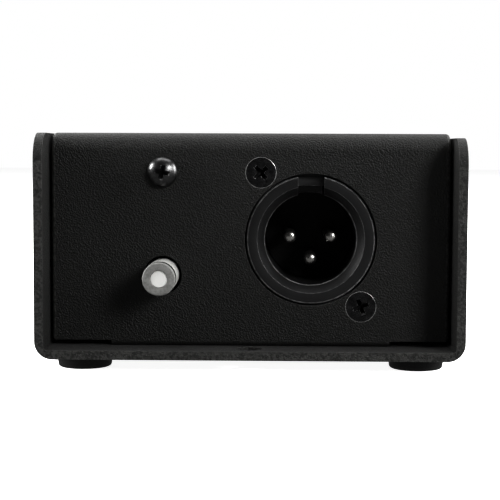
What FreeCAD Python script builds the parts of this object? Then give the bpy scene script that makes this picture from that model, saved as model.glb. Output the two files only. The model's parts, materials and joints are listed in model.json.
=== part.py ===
"""Passive direct injection (DI) box, built as a parametric FreeCAD document.

Lengths are millimetres. +X is right, +Y is to the rear and +Z is up. The origin lies on the
surface under the feet, below the middle of the box. The male output socket and the ground lift
button are on the front panel, which faces -Y, and the two jack sockets are on the rear panel.
"""
import FreeCAD, Part
import math
import operator
import os
import Sketcher
from FreeCAD import Placement, Rotation, Vector

DIMENSIONS = {
    # folded sheet-metal box
    "sheet": 1.6,
    "box_width": 76.2,
    "box_length": 114.3,
    "left_side_height": 40.1,
    "right_side_height": 39.4,
    "shell_bend": 3.2,
    "shell_bend_inside": 0.6,
    "side_corner": 5.0,
    "lip_hole": 4.4,
    "lip_hole_inset": 4.0,
    "panel_recess": 7.0,
    "cover_gap": 0.5,
    "cover_height": 38.6,
    "cover_bend": 3.2,
    "flange_width": 50.6,
    "flange_depth": 12.0,
    "flange_bend": 0.9,
    "panel_lift": 1.0,
    # rubber feet
    "foot_height": 2.4,
    "foot_diameter": 10.2,
    "foot_base": 9.6,
    "foot_round": 0.5,
    "foot_x": 30.3,
    "foot_y": 48.15,
    # M3 fasteners
    "thread": 3.0,
    "thread_point": 0.4,
    "thread_hole": 3.06,
    "screw_hole": 3.2,
    "clear_hole": 3.4,
    "flat_head": 5.6,
    "countersink": 5.7,
    "pan_head": 5.5,
    "pan_head_height": 2.0,
    "pan_head_round": 1.3,
    "cross_length": 2.9,
    "cross_width": 0.8,
    "cross_depth": 1.1,
    "nut_flats": 5.5,
    "nut_height": 2.4,
    "cover_screw_x": 18.0,
    "cover_screw_y": 43.5,
    "cover_screw_length": 6.0,
    "clinch_shank": 4.2,
    "clinch_head": 6.3,
    "clinch_height": 2.0,
    "clinch_set_back": 0.1,
    # output socket (24 mm panel cutout)
    "xlr_x": 10.95,
    "xlr_height": 19.4,
    "xlr_cutout": 24.0,
    "xlr_ring": 23.3,
    "xlr_set_back": 0.5,
    "xlr_flat": 19.5,
    "xlr_bore": 16.7,
    "xlr_bevel": 1.2,
    "xlr_flange_width": 26.0,
    "xlr_flange_height": 31.0,
    "xlr_flange": 2.5,
    "xlr_flange_corner": 3.0,
    "xlr_body": 22.0,
    "xlr_depth": 21.0,
    "xlr_insert": 4.0,
    "xlr_notch": 4.76,
    "xlr_key_reach": 9.8,
    "xlr_key_depth": 12.0,
    "xlr_screw_x": 9.1,
    "xlr_screw_z": 12.1,
    "xlr_screw_length": 8.0,
    "pin_diameter": 2.36,
    "pin_circle": 3.75,
    "pin_rise": 0.3,
    "pin_set_back": 4.5,
    "pin_dome": 0.95,
    "cup_diameter": 2.2,
    "cup_length": 5.0,
    "cup_bore": 1.3,
    "cup_bore_depth": 3.0,
    # ground lift switch on its circuit board
    "lift_x": -15.9,
    "button_height": 12.9,
    "board_screw_height": 31.5,
    "button_hole": 7.0,
    "button_reach": 8.4,
    "button_travel": 3.0,
    "button_clearance": 0.35,
    "cap_diameter": 5.9,
    "cap_length": 10.25,
    "cap_round": 0.25,
    "cap_groove_place": 1.0,
    "cap_groove_width": 1.2,
    "cap_groove_depth": 0.5,
    "cap_bore": 3.0,
    "plunger": 2.93,
    "plunger_inset": 0.15,
    "plunger_foot": 5.0,
    "plunger_foot_height": 2.0,
    "switch_size": 8.5,
    "switch_wall": 1.0,
    "switch_depth": 7.4,
    "switch_play": 0.1,
    "wiper": 0.3,
    "wiper_width": 3.0,
    "wiper_inset": 0.4,
    "spring_wire": 0.3,
    "spring_diameter": 3.2,
    "spring_turns": 4.0,
    "spring_play": 0.02,
    "terminal": 0.6,
    "terminal_pitch": 2.2,
    "terminal_row": 2.6,
    "terminal_inner": 0.8,
    "terminal_tail": 1.2,
    "fit_gap": 0.05,
    "standoff": 12.0,
    "standoff_flats": 5.0,
    "board_screw_length": 7.0,
    "board": 1.6,
    "board_left": -31.0,
    "board_right": -4.5,
    "board_low": 5.0,
    "board_high": 36.0,
    "resistor_body": 2.4,
    "resistor_length": 6.3,
    "resistor_round": 0.5,
    "resistor_left": 2.1,
    "resistor_rise": 8.1,
    "capacitor_diameter": 6.5,
    "capacitor_thickness": 2.8,
    "capacitor_round": 0.8,
    "capacitor_inset": 4.5,
    "capacitor_drop": 3.0,
    "lead": 0.6,
    "lead_tail": 0.8,
    "lead_pitch": 10.0,
    "capacitor_pitch": 5.0,
    "part_stand": 2.6,
    # transformer
    "core_width": 28.0,
    "core_height": 24.0,
    "core_stack": 12.0,
    "core_limb": 4.7,
    "bobbin_play": 0.05,
    "bobbin_wall": 0.75,
    "bobbin_flange": 1.0,
    "bobbin_reach_x": 9.2,
    "bobbin_reach_y": 10.6,
    "winding_inset": 0.3,
    "strap": 0.8,
    "strap_width": 10.0,
    "strap_reach": 23.0,
    "strap_screw_x": 19.5,
    "strap_screw_length": 8.0,
    "terminal_pin": 0.8,
    "terminal_pin_x": 6.0,
    "terminal_pin_y": 8.7,
    "terminal_pin_top": 23.0,
    # jack sockets for 6.35 mm plugs
    "jack_x": 16.0,
    "jack_height": 18.5,
    "jack_hole": 9.7,
    "jack_thread": 9.5,
    "jack_bore": 6.5,
    "jack_barrel": 7.0,
    "jack_reach": 8.4,
    "jack_seat": 2.0,
    "jack_width": 15.0,
    "jack_tall": 15.6,
    "jack_depth": 24.0,
    "jack_round": 1.0,
    "jack_nut_flats": 12.7,
    "jack_nut_height": 2.4,
    "jack_washer": 14.0,
    "jack_washer_height": 0.8,
    "thread_chamfer": 0.5,
    "contact": 0.5,
    "contact_width": 3.0,
    "contact_place": 5.0,
    "contact_lug": 3.0,
    "contact_slot": 3.2,
    "slot_play": 0.1,
    "tip_slot_low": 2.0,
    "tip_slot_length": 9.4,
    "tip_fold": 9.0,
    "tip_leaf": 0.4,
    "tip_knee_length": 4.8,
    "tip_knee_height": 2.5,
    "tip_end_length": 2.2,
    "tip_end_height": 3.3,
    "sleeve_tab": 3.9,
    "sleeve_tab_room": 0.65,
    # insulated hookup wire
    "wire": 1.2,
    "wire_spread": 0.75,
}

XLR_SCREW_TURNS = {-1: 42, 1: 20}
PANEL_SCREW_TURN = -12
OPERATIONS = {"+": operator.add, "-": operator.sub, "*": operator.mul, "/": operator.truediv}
FACING_FRONT = Rotation(Vector(1, 0, 0), 90)
FACING_REAR = Rotation(Vector(0, 1, 1), 180)
UPSIDE_DOWN = Rotation(Vector(1, 0, 0), 180)
TOUCH = 1e-4


class Size:
    """A number that keeps the spreadsheet expression it comes from."""

    def __init__(self, value, text):
        self.value = value
        self.text = text

    def __add__(self, other):
        return combined(self, "+", other)

    def __radd__(self, other):
        return combined(other, "+", self)

    def __sub__(self, other):
        return combined(self, "-", other)

    def __rsub__(self, other):
        return combined(other, "-", self)

    def __mul__(self, other):
        return combined(self, "*", other)

    def __rmul__(self, other):
        return combined(other, "*", self)

    def __truediv__(self, other):
        return combined(self, "/", other)

    def __neg__(self):
        return combined(0, "-", self)


def as_size(number):
    """Return the number as a Size."""
    if isinstance(number, Size):
        return number
    return Size(float(number), f"{float(number):.6f}")


def combined(left, sign, right):
    """Join two sizes by an operation, in value and in expression."""
    left = as_size(left)
    right = as_size(right)
    value = OPERATIONS[sign](left.value, right.value)
    return Size(value, f"({left.text} {sign} {right.text})")


class Sheet:
    """The spreadsheet of driving dimensions, read as attributes."""

    def __init__(self, document, dimensions):
        cells = document.addObject("Spreadsheet::Sheet", "dims")
        for row, (alias, value) in enumerate(dimensions.items(), start=1):
            cells.set(f"A{row}", alias)
            cells.set(f"B{row}", str(value))
            cells.setAlias(f"B{row}", alias)
        self.values = dimensions

    def __getattr__(self, alias):
        return Size(self.values[alias], f"dims.{alias}")


doc = FreeCAD.newDocument("direct_injection_box")
d = Sheet(doc, DIMENSIONS)
doc.recompute()
sub_parts = []


# ---------------------------------------------------------------- building helpers

def bind(item, path, size):
    """Bind one property of a document object to an expression."""
    item.setExpression(path, as_size(size).text)


def point(x, y, z):
    """Return a vector from three sizes."""
    return Vector(as_size(x).value, as_size(y).value, as_size(z).value)


def place(item, x, y, z, rotation=Rotation()):
    """Put an object at a bound position."""
    item.Placement = Placement(point(x, y, z), rotation)
    bind(item, "Placement.Base.x", x)
    bind(item, "Placement.Base.y", y)
    bind(item, "Placement.Base.z", z)


def keep(item, label):
    """Name an object and add it to the sub-parts that are written."""
    item.Label = label
    sub_parts.append(item)
    return item


def new_body(name):
    """Start a PartDesign body."""
    return doc.addObject("PartDesign::Body", name)


def new_sketch(body, plane, height=0):
    """Attach a sketch to one of the body's origin planes, moved along the plane's normal."""
    sketch = body.newObject("Sketcher::SketchObject", body.Name + "_sketch")
    role = plane + "_Plane"
    origin_plane = next(item for item in body.Origin.OriginFeatures if item.Role == role)
    sketch.AttachmentSupport = [(origin_plane, "")]
    sketch.MapMode = "FlatFace"
    sketch.AttachmentOffset = Placement(point(0, 0, height), Rotation())
    bind(sketch, "AttachmentOffset.Base.z", height)
    return sketch


def constrain(sketch, kind, numbers, size):
    """Add one driving dimension to a sketch and bind it."""
    index = sketch.addConstraint(Sketcher.Constraint(kind, *numbers, as_size(size).value))
    name = f"size_{index}"
    sketch.renameConstraint(index, name)
    bind(sketch, f"Constraints.{name}", size)


def locate(sketch, geometry, end, x, y):
    """Fix one point of a sketch from the sketch's origin."""
    constrain(sketch, "DistanceX", (-1, 1, geometry, end), x)
    constrain(sketch, "DistanceY", (-1, 1, geometry, end), y)


def polygon(sketch, corners):
    """Draw a closed outline of straight lines."""
    first = sketch.GeometryCount
    count = len(corners)
    points = [point(x, y, 0) for x, y in corners]
    lines = [Part.LineSegment(points[i], points[(i + 1) % count]) for i in range(count)]
    sketch.addGeometry(lines)
    joints = [(first + i, 2, first + (i + 1) % count, 1) for i in range(count)]
    sketch.addConstraint([Sketcher.Constraint("Coincident", *joint) for joint in joints])
    for i, (x, y) in enumerate(corners):
        locate(sketch, first + i, 1, x, y)


def rectangle(sketch, low_x, low_y, high_x, high_y):
    """Draw a rectangle between two corners."""
    polygon(sketch, [(low_x, low_y), (high_x, low_y), (high_x, high_y), (low_x, high_y)])


def circle(sketch, x, y, diameter):
    """Draw a circle."""
    shape = Part.Circle(point(x, y, 0), Vector(0, 0, 1), as_size(diameter).value / 2)
    index = sketch.addGeometry(shape)
    locate(sketch, index, 3, x, y)
    constrain(sketch, "Diameter", (index,), diameter)


def hexagon(sketch, flats):
    """Draw a hexagon of a size across its flats."""
    corner = flats / math.sqrt(3)
    half = flats / 2
    polygon(sketch, [
        (corner, 0), (corner / 2, half), (-corner / 2, half),
        (-corner, 0), (-corner / 2, -half), (corner / 2, -half),
    ])


def pad(body, sketch, length, symmetric=False):
    """Pad a sketch along its normal, or to both sides of it."""
    feature = body.newObject("PartDesign::Pad", body.Name + "_pad")
    feature.Profile = sketch
    bind(feature, "Length", length)
    feature.Midplane = symmetric
    doc.recompute()
    return feature


def pocket(body, sketch, length, forward=False, symmetric=False):
    """Cut a sketch against its normal, along it or to both sides, and check that it cut something."""
    before = body.Shape.Volume
    feature = body.newObject("PartDesign::Pocket", body.Name + "_pocket")
    feature.Profile = sketch
    bind(feature, "Length", length)
    feature.Reversed = forward
    feature.Midplane = symmetric
    doc.recompute()
    if body.Shape.Volume > before - TOUCH:
        raise RuntimeError(f"{feature.Name} cut nothing")
    return feature


def revolve(body, corners):
    """Turn an outline of (radius, height) points about the body's Z axis."""
    sketch = new_sketch(body, "XZ")
    polygon(sketch, corners)
    feature = body.newObject("PartDesign::Revolution", body.Name + "_revolution")
    feature.Profile = sketch
    feature.ReferenceAxis = (sketch, ["V_Axis"])
    feature.Angle = 360
    doc.recompute()
    return feature


def edge_lies(edge, places):
    """Tell whether an edge keeps to the given coordinates, such as {"Y": 3, "Z": 0}."""
    box = edge.BoundBox
    return all(
        abs(getattr(box, axis + "Min") - as_size(size).value) < 1e-3
        and abs(getattr(box, axis + "Max") - as_size(size).value) < 1e-3
        for axis, size in places.items()
    )


def dress(body, kind, size, places, ring=None):
    """Fillet or chamfer the edges at the given places, or only the circles of one diameter."""
    base = body.Tip
    names = []
    for number, edge in enumerate(base.Shape.Edges, start=1):
        if not any(edge_lies(edge, wanted) for wanted in places):
            continue
        if ring is not None and abs(edge.BoundBox.DiagonalLength - ring.value * math.sqrt(2)) > 1e-2:
            continue
        names.append(f"Edge{number}")
    if not names:
        raise RuntimeError(f"no edge to dress on {body.Name}")
    feature = body.newObject("PartDesign::" + kind, f"{body.Name}_{kind.lower()}")
    feature.Base = (base, names)
    bind(feature, "Radius" if kind == "Fillet" else "Size", size)
    doc.recompute()
    return feature


def fillet(body, radius, places, ring=None):
    """Round edges."""
    return dress(body, "Fillet", radius, places, ring)


def chamfer(body, size, places, ring=None):
    """Bevel edges."""
    return dress(body, "Chamfer", size, places, ring)


def group(label, master, places):
    """Gather several copies of one master piece into one node."""
    members = []
    for number, (x, y, z, rotation) in enumerate(places, start=1):
        member = doc.addObject("App::Link", f"{label}_{number}")
        member.LinkedObject = master
        place(member, x, y, z, rotation)
        members.append(member)
    compound = doc.addObject("Part::Compound", label + "_set")
    compound.Links = members
    return keep(compound, label)


def single(label, master, x, y, z, rotation=Rotation()):
    """Place one body and keep it as a node."""
    place(master, x, y, z, rotation)
    return keep(master, label)


# ---------------------------------------------------------------- shared sizes

floor_z = d.foot_height + d.sheet
panel_y = d.box_length / 2 - d.panel_recess
button_front = panel_y + d.button_reach
board_front = panel_y - d.sheet - d.standoff
board_back = board_front - d.board


# ---------------------------------------------------------------- sheet-metal box

def base_shell():
    """U-shaped outer shell: floor and two sides, folded from one sheet. Local Z = 0 is its underside.

    Its bends are sharp inside. The left side stands nearly level with the cover's top, the right lower.
    """
    body = new_body("base_shell")
    outer = d.box_width / 2
    inner = outer - d.sheet
    sketch = new_sketch(body, "XZ")
    left = d.left_side_height
    right = d.right_side_height
    polygon(sketch, [
        (-outer, 0), (outer, 0), (outer, right), (inner, right),
        (inner, d.sheet), (-inner, d.sheet), (-inner, left), (-outer, left),
    ])
    pad(body, sketch, d.box_length, symmetric=True)
    fillet(body, d.shell_bend, [{"X": outer, "Z": 0}, {"X": -outer, "Z": 0}])
    fillet(body, d.shell_bend_inside, [{"X": inner, "Z": d.sheet}, {"X": -inner, "Z": d.sheet}])
    half = d.box_length / 2
    fillet(body, d.side_corner, [{"Y": end, "Z": top} for end in (-half, half) for top in (left, right)])
    holes = new_sketch(body, "XY", d.sheet)
    for x in (-d.cover_screw_x, d.cover_screw_x):
        for y in (-d.cover_screw_y, d.cover_screw_y):
            circle(holes, x, y, d.clear_hole)
    for x in (-d.strap_screw_x, d.strap_screw_x):
        circle(holes, x, 0, d.screw_hole)
    circle(holes, 0, d.lip_hole_inset - half, d.lip_hole)
    pocket(body, holes, d.sheet)
    chamfer(body, (d.countersink - d.clear_hole) / 2, [{"Z": 0}], ring=d.clear_hole)
    single("base_shell", body, 0, 0, d.foot_height)


def top_cover():
    """Inner cover: top, two end panels and their inward flanges. Local Z = 0 is the shell's floor."""
    body = new_body("top_cover")
    inside = panel_y - d.sheet
    top = d.cover_height
    inner_top = top - d.sheet
    sketch = new_sketch(body, "YZ")
    polygon(sketch, [
        (-panel_y, d.panel_lift), (-panel_y, top), (panel_y, top), (panel_y, d.panel_lift),
        (inside, d.panel_lift), (inside, inner_top), (-inside, inner_top), (-inside, d.panel_lift),
    ])
    width = d.box_width - 2 * d.sheet - 2 * d.cover_gap
    pad(body, sketch, width, symmetric=True)
    flanges = new_sketch(body, "YZ")
    for side in (-1, 1):
        tip = panel_y - d.flange_depth
        polygon(flanges, [
            (side * panel_y, 0), (side * tip, 0), (side * tip, d.sheet),
            (side * inside, d.sheet), (side * inside, d.panel_lift), (side * panel_y, d.panel_lift),
        ])
    pad(body, flanges, d.flange_width, symmetric=True)
    fillet(body, d.cover_bend, [{"Y": panel_y, "Z": top}, {"Y": -panel_y, "Z": top}])
    fillet(body, d.cover_bend - d.sheet, [{"Y": inside, "Z": inner_top}, {"Y": -inside, "Z": inner_top}])
    fillet(body, d.flange_bend, [{"Y": panel_y, "Z": 0}, {"Y": -panel_y, "Z": 0}])
    nuts = new_sketch(body, "XY", d.sheet)
    for x in (-d.cover_screw_x, d.cover_screw_x):
        for y in (-d.cover_screw_y, d.cover_screw_y):
            circle(nuts, x, y, d.clinch_shank)
    pocket(body, nuts, d.sheet)
    front = new_sketch(body, "XZ", panel_y)
    circle(front, d.xlr_x, d.xlr_height, d.xlr_cutout)
    circle(front, d.xlr_x - d.xlr_screw_x, d.xlr_height + d.xlr_screw_z, d.clear_hole)
    circle(front, d.xlr_x + d.xlr_screw_x, d.xlr_height - d.xlr_screw_z, d.clear_hole)
    circle(front, d.lift_x, d.board_screw_height, d.screw_hole)
    circle(front, d.lift_x, d.button_height, d.button_hole)
    pocket(body, front, d.sheet)
    rear = new_sketch(body, "XZ", -panel_y)
    circle(rear, -d.jack_x, d.jack_height, d.jack_hole)
    circle(rear, d.jack_x, d.jack_height, d.jack_hole)
    pocket(body, rear, d.sheet, forward=True)
    chamfer(body, (d.countersink - d.clear_hole) / 2, [{"Y": -panel_y}], ring=d.clear_hole)
    single("top_cover", body, 0, 0, floor_z)


def feet():
    """Four tapered rubber feet stuck under the shell's corners."""
    for y, end in ((-d.foot_y, "front"), (d.foot_y, "rear")):
        for x, side in ((-d.foot_x, "left"), (d.foot_x, "right")):
            body = new_body(f"foot_{end}_{side}")
            base = d.foot_base / 2
            top = d.foot_diameter / 2
            revolve(body, [(0, 0), (base, 0), (top, d.foot_height), (0, d.foot_height)])
            fillet(body, d.foot_round, [{"Z": 0}])
            single(f"foot_{end}_{side}", body, x, y, 0)


# ---------------------------------------------------------------- fasteners

def cross_recess(body, height):
    """Cut a Phillips cross into a screw's head from the given height."""
    arm = d.cross_length / 2
    half = d.cross_width / 2
    sketch = new_sketch(body, "XY", height)
    polygon(sketch, [
        (arm, -half), (arm, half), (half, half), (half, arm), (-half, arm), (-half, half),
        (-arm, half), (-arm, -half), (-half, -half), (-half, -arm), (half, -arm), (half, -half),
    ])
    pocket(body, sketch, d.cross_depth)


def flat_screw(name, length):
    """Countersunk screw, its head's flat face at local Z = 0 and its shank down -Z."""
    body = new_body(name)
    head = d.flat_head / 2
    shank = d.thread / 2
    revolve(body, [
        (0, 0), (head, 0), (shank, shank - head), (shank, d.thread_point - length),
        (shank - d.thread_point, -length), (0, -length),
    ])
    cross_recess(body, 0)
    return body


def pan_screw(name, length):
    """Pan head screw, the seat of its head at local Z = 0 and its shank down -Z."""
    body = new_body(name)
    head = d.pan_head / 2
    shank = d.thread / 2
    revolve(body, [
        (0, d.pan_head_height), (head, d.pan_head_height), (head, 0), (shank, 0),
        (shank, d.thread_point - length), (shank - d.thread_point, -length), (0, -length),
    ])
    fillet(body, d.pan_head_round, [{"Z": d.pan_head_height}])
    cross_recess(body, d.pan_head_height)
    return body


def hex_nut(name, flats, height, hole):
    """Hexagon nut standing on local Z = 0."""
    body = new_body(name)
    sketch = new_sketch(body, "XY")
    hexagon(sketch, flats)
    circle(sketch, 0, 0, hole)
    pad(body, sketch, height)
    return body


def cover_fasteners():
    """Four flat screws from below, each in a clinch nut that is pressed into a flange of the cover."""
    rows = (-d.cover_screw_y, d.cover_screw_y)
    places = [(x, y) for x in (-d.cover_screw_x, d.cover_screw_x) for y in rows]
    screw = flat_screw("cover_screw", d.cover_screw_length)
    group("cover_screws", screw, [(x, y, d.foot_height, UPSIDE_DOWN) for x, y in places])
    nut = new_body("clinch_nut")
    bore = d.thread_hole / 2
    shank = d.clinch_shank / 2
    head = d.clinch_head / 2
    revolve(nut, [
        (bore, d.clinch_set_back), (shank, d.clinch_set_back), (shank, d.sheet), (head, d.sheet),
        (head, d.sheet + d.clinch_height), (bore, d.sheet + d.clinch_height),
    ])
    group("clinch_nuts", nut, [(x, y, floor_z, Rotation()) for x, y in places])


# ---------------------------------------------------------------- output socket
# Local axes of the socket: +Z points out of the front panel, +Y is up, Z = 0 is the panel's outer face.

def put_in_socket(label, body, x=0, y=0):
    """Place a piece in the output socket's axes."""
    single(label, body, d.xlr_x + x, -panel_y, floor_z + d.xlr_height + y, FACING_FRONT)


def xlr_housing():
    """Die-cast socket shell: mounting flange behind the panel, ring in the cutout and barrel."""
    body = new_body("xlr_housing")
    bore = d.xlr_bore / 2
    flat = d.xlr_flat / 2
    ring = d.xlr_ring / 2
    barrel = d.xlr_body / 2
    revolve(body, [
        (bore, -d.xlr_depth), (barrel, -d.xlr_depth), (barrel, -d.sheet), (ring, -d.sheet),
        (ring, -d.xlr_set_back), (flat, -d.xlr_set_back), (bore, -d.xlr_set_back - d.xlr_bevel),
    ])
    plate = new_sketch(body, "XY", -d.sheet - d.xlr_flange)
    half_width = d.xlr_flange_width / 2
    half_height = d.xlr_flange_height / 2
    rectangle(plate, -half_width, -half_height, half_width, half_height)
    circle(plate, 0, 0, d.xlr_body - 2)
    for side in (-1, 1):
        circle(plate, side * d.xlr_screw_x, -side * d.xlr_screw_z, d.screw_hole)
    pad(body, plate, d.xlr_flange)
    corners = [{"X": sx * half_width, "Y": sy * half_height} for sx in (-1, 1) for sy in (-1, 1)]
    fillet(body, d.xlr_flange_corner, corners)
    gate = new_sketch(body, "XY", 0)
    rectangle(gate, -d.xlr_notch / 2, bore / 2, d.xlr_notch / 2, d.xlr_cutout / 2)
    pocket(body, gate, d.sheet)
    key = new_sketch(body, "XY", 0)
    rectangle(key, -d.xlr_notch / 2, bore / 2, d.xlr_notch / 2, d.xlr_key_reach)
    pocket(body, key, d.xlr_key_depth)
    put_in_socket("xlr_housing", body)


def pin_places():
    """Places of the three pins in the socket's axes: left, right and bottom."""
    return [(-d.pin_circle, d.pin_rise), (d.pin_circle, d.pin_rise), (Size(0.0, "0"), -d.pin_circle)]


def xlr_insert():
    """Moulded disc that closes the back of the socket and holds the pins."""
    body = new_body("xlr_insert")
    sketch = new_sketch(body, "XY", -d.xlr_depth)
    circle(sketch, 0, 0, d.xlr_bore - 2 * d.fit_gap)
    for x, y in pin_places():
        circle(sketch, x, y, d.pin_diameter + d.fit_gap)
    pad(body, sketch, d.xlr_insert)
    put_in_socket("xlr_insert", body)


def xlr_pins():
    """Three contact pins, domed in front, with a solder cup behind the insert."""
    for number, (x, y) in enumerate(pin_places(), start=1):
        body = new_body(f"xlr_pin_{number}")
        radius = d.pin_diameter / 2
        cup = d.cup_diameter / 2
        end = -d.xlr_depth - d.cup_length
        revolve(body, [
            (0, -d.pin_set_back), (radius, -d.pin_set_back), (radius, -d.xlr_depth),
            (cup, -d.xlr_depth), (cup, end), (0, end),
        ])
        fillet(body, d.pin_dome, [{"Z": -d.pin_set_back}])
        hollow = new_sketch(body, "XY", end)
        circle(hollow, 0, 0, d.cup_bore)
        pocket(body, hollow, d.cup_bore_depth, forward=True)
        put_in_socket(f"xlr_pin_{number}", body, x, y)


def xlr_fasteners():
    """Two flat screws through opposite corners of the flange, each with a nut behind it."""
    screw = flat_screw("xlr_screw", d.xlr_screw_length)
    nut = hex_nut("xlr_nut", d.nut_flats, d.nut_height, d.thread_hole)
    screw_places = []
    nut_places = []
    for side, turn in XLR_SCREW_TURNS.items():
        x = d.xlr_x + side * d.xlr_screw_x
        z = floor_z + d.xlr_height - side * d.xlr_screw_z
        spin = Rotation(Vector(0, 0, 1), turn)
        screw_places.append((x, -panel_y, z, FACING_FRONT * spin))
        seat = panel_y - d.sheet - d.xlr_flange - d.nut_height
        nut_places.append((x, -seat, z, FACING_FRONT))
    group("xlr_screws", screw, screw_places)
    group("xlr_nuts", nut, nut_places)


# ---------------------------------------------------------------- ground lift switch
# Local axes of the switch: +Z points out of the front panel, +Y is up, Z = 0 is the button's front.

switch_front = -d.cap_length - d.button_travel - d.button_clearance
switch_back = switch_front - d.switch_depth
board_level = switch_back - d.switch_wall


def put_on_lift_axis(label, body):
    """Place a piece on the axis of the ground lift button."""
    single(label, body, d.lift_x, -button_front, floor_z + d.button_height, FACING_FRONT)


def ground_lift_cap():
    """Round button cap, a sleeve on the switch's plunger, with a groove round it just behind its front."""
    body = new_body("ground_lift_cap")
    bore = d.cap_bore / 2
    outer = d.cap_diameter / 2
    waist = outer - d.cap_groove_depth
    near = -d.cap_groove_place
    far = near - d.cap_groove_width
    revolve(body, [
        (bore, 0), (outer, 0), (outer, near), (waist, near), (waist, far), (outer, far),
        (outer, -d.cap_length), (bore, -d.cap_length),
    ])
    fillet(body, d.cap_round, [{"Z": 0}], ring=d.cap_diameter)
    put_on_lift_axis("ground_lift_cap", body)


def switch_plunger():
    """Plunger: a round stem that shows in the cap's middle, on a square foot inside the switch."""
    body = new_body("switch_plunger")
    foot_top = switch_front - d.switch_wall - d.switch_play
    stem = new_sketch(body, "XY", foot_top)
    circle(stem, 0, 0, d.plunger)
    pad(body, stem, -d.plunger_inset - foot_top)
    foot = new_sketch(body, "XY", foot_top - d.plunger_foot_height)
    half = d.plunger_foot / 2
    rectangle(foot, -half, -half, half, half)
    pad(body, foot, d.plunger_foot_height)
    put_on_lift_axis("switch_plunger", body)


def switch_wipers():
    """Two contact strips on the upper and lower sides of the plunger's foot."""
    master = new_body("switch_wiper")
    foot_low = switch_front - d.switch_wall - d.switch_play - d.plunger_foot_height
    sketch = new_sketch(master, "XY", foot_low)
    rectangle(sketch, -d.wiper_width / 2, 0, d.wiper_width / 2, d.wiper)
    pad(master, sketch, d.plunger_foot_height - d.wiper_inset)
    half = d.plunger_foot / 2
    axis_z = floor_z + d.button_height
    group("switch_wipers", master, [
        (d.lift_x, -button_front, axis_z + half, FACING_FRONT),
        (d.lift_x, -button_front, axis_z - half - d.wiper, FACING_FRONT),
    ])


def switch_housing():
    """Moulded switch case, open to the board side, with a round guide for the plunger."""
    body = new_body("switch_housing")
    half = d.switch_size / 2
    block = new_sketch(body, "XY", switch_back)
    rectangle(block, -half, -half, half, half)
    pad(body, block, d.switch_depth)
    room = half - d.switch_wall
    hollow = new_sketch(body, "XY", switch_back)
    rectangle(hollow, -room, -room, room, room)
    pocket(body, hollow, d.switch_depth - d.switch_wall, forward=True)
    guide = new_sketch(body, "XY", switch_front)
    circle(guide, 0, 0, d.plunger + 2 * d.fit_gap)
    pocket(body, guide, d.switch_wall)
    put_on_lift_axis("switch_housing", body)


def terminal_places():
    """Places of the switch's six terminals across its base."""
    return [(i * d.terminal_pitch, j * d.terminal_row) for i in (-1, 0, 1) for j in (-1, 1)]


def switch_base():
    """Base plate of the switch, which carries the terminals."""
    body = new_body("switch_base")
    half = d.switch_size / 2
    sketch = new_sketch(body, "XY", board_level)
    rectangle(sketch, -half, -half, half, half)
    for x, y in terminal_places():
        circle(sketch, x, y, d.terminal + d.fit_gap)
    pad(body, sketch, d.switch_wall)
    put_on_lift_axis("switch_base", body)


def switch_terminals():
    """Six round terminals from inside the switch through the base and the board."""
    master = new_body("switch_terminal")
    low = board_level - d.board - d.terminal_tail
    sketch = new_sketch(master, "XY", low)
    circle(sketch, 0, 0, d.terminal)
    pad(master, sketch, switch_back + d.terminal_inner - low)
    axis_z = floor_z + d.button_height
    places = [(d.lift_x + x, -button_front, axis_z + y, FACING_FRONT) for x, y in terminal_places()]
    group("switch_terminals", master, places)


def switch_spring():
    """Coil spring between the switch's base and the plunger's foot."""
    body = new_body("switch_spring")
    foot_low = switch_front - d.switch_wall - d.switch_play - d.plunger_foot_height
    gap = foot_low - switch_back
    sketch = new_sketch(body, "XZ")
    middle = (d.spring_diameter - d.spring_wire) / 2
    circle(sketch, middle, switch_back + d.spring_wire / 2 + d.spring_play, d.spring_wire)
    coil = body.newObject("PartDesign::AdditiveHelix", "spring_coil")
    coil.Profile = sketch
    coil.ReferenceAxis = (sketch, ["V_Axis"])
    coil.Mode = "height-turns-angle"
    coil.Turns = d.spring_turns.value
    bind(coil, "Height", gap - d.spring_wire - 2 * d.spring_play)
    doc.recompute()
    put_on_lift_axis("switch_spring", body)


def circuit_board():
    """Board that carries the switch, hung from the front panel by a standoff."""
    body = new_body("circuit_board")
    sketch = new_sketch(body, "XZ", board_back)
    rectangle(sketch, d.board_left, d.board_low, d.board_right, d.board_high)
    for x, y in terminal_places():
        circle(sketch, d.lift_x + x, d.button_height + y, d.terminal + d.fit_gap)
    circle(sketch, d.lift_x, d.board_screw_height, d.clear_hole)
    for x, z in lead_places():
        circle(sketch, x, z, d.lead + d.fit_gap)
    pad(body, sketch, d.board)
    single("circuit_board", body, 0, 0, floor_z)


resistor_middle = (d.lift_x - d.resistor_left, d.button_height + d.resistor_rise)
capacitor_middle = (d.board_left + d.capacitor_inset, d.board_screw_height - d.capacitor_drop)


def lead_places():
    """Board holes for the leads of the resistor and then of the capacitor, above the floor."""
    x, z = resistor_middle
    u, v = capacitor_middle
    reach = d.lead_pitch / 2
    step = d.capacitor_pitch / 2
    return [(x - reach, z), (x + reach, z), (u, v - step), (u, v + step)]


def board_hardware():
    """Hex standoff with the front panel's pan screw and the board's own screw in its two ends."""
    height = floor_z + d.board_screw_height
    standoff = hex_nut("board_standoff", d.standoff_flats, d.standoff, d.thread_hole)
    single("board_standoff", standoff, d.lift_x, -board_front, height, FACING_FRONT)
    front_screw = pan_screw("panel_screw", d.board_screw_length)
    turned = FACING_FRONT * Rotation(Vector(0, 0, 1), PANEL_SCREW_TURN)
    single("panel_screw", front_screw, d.lift_x, -panel_y, height, turned)
    back_screw = pan_screw("board_screw", d.board_screw_length)
    single("board_screw", back_screw, d.lift_x, -board_back, height, FACING_REAR)


# ---------------------------------------------------------------- swept wires

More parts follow.
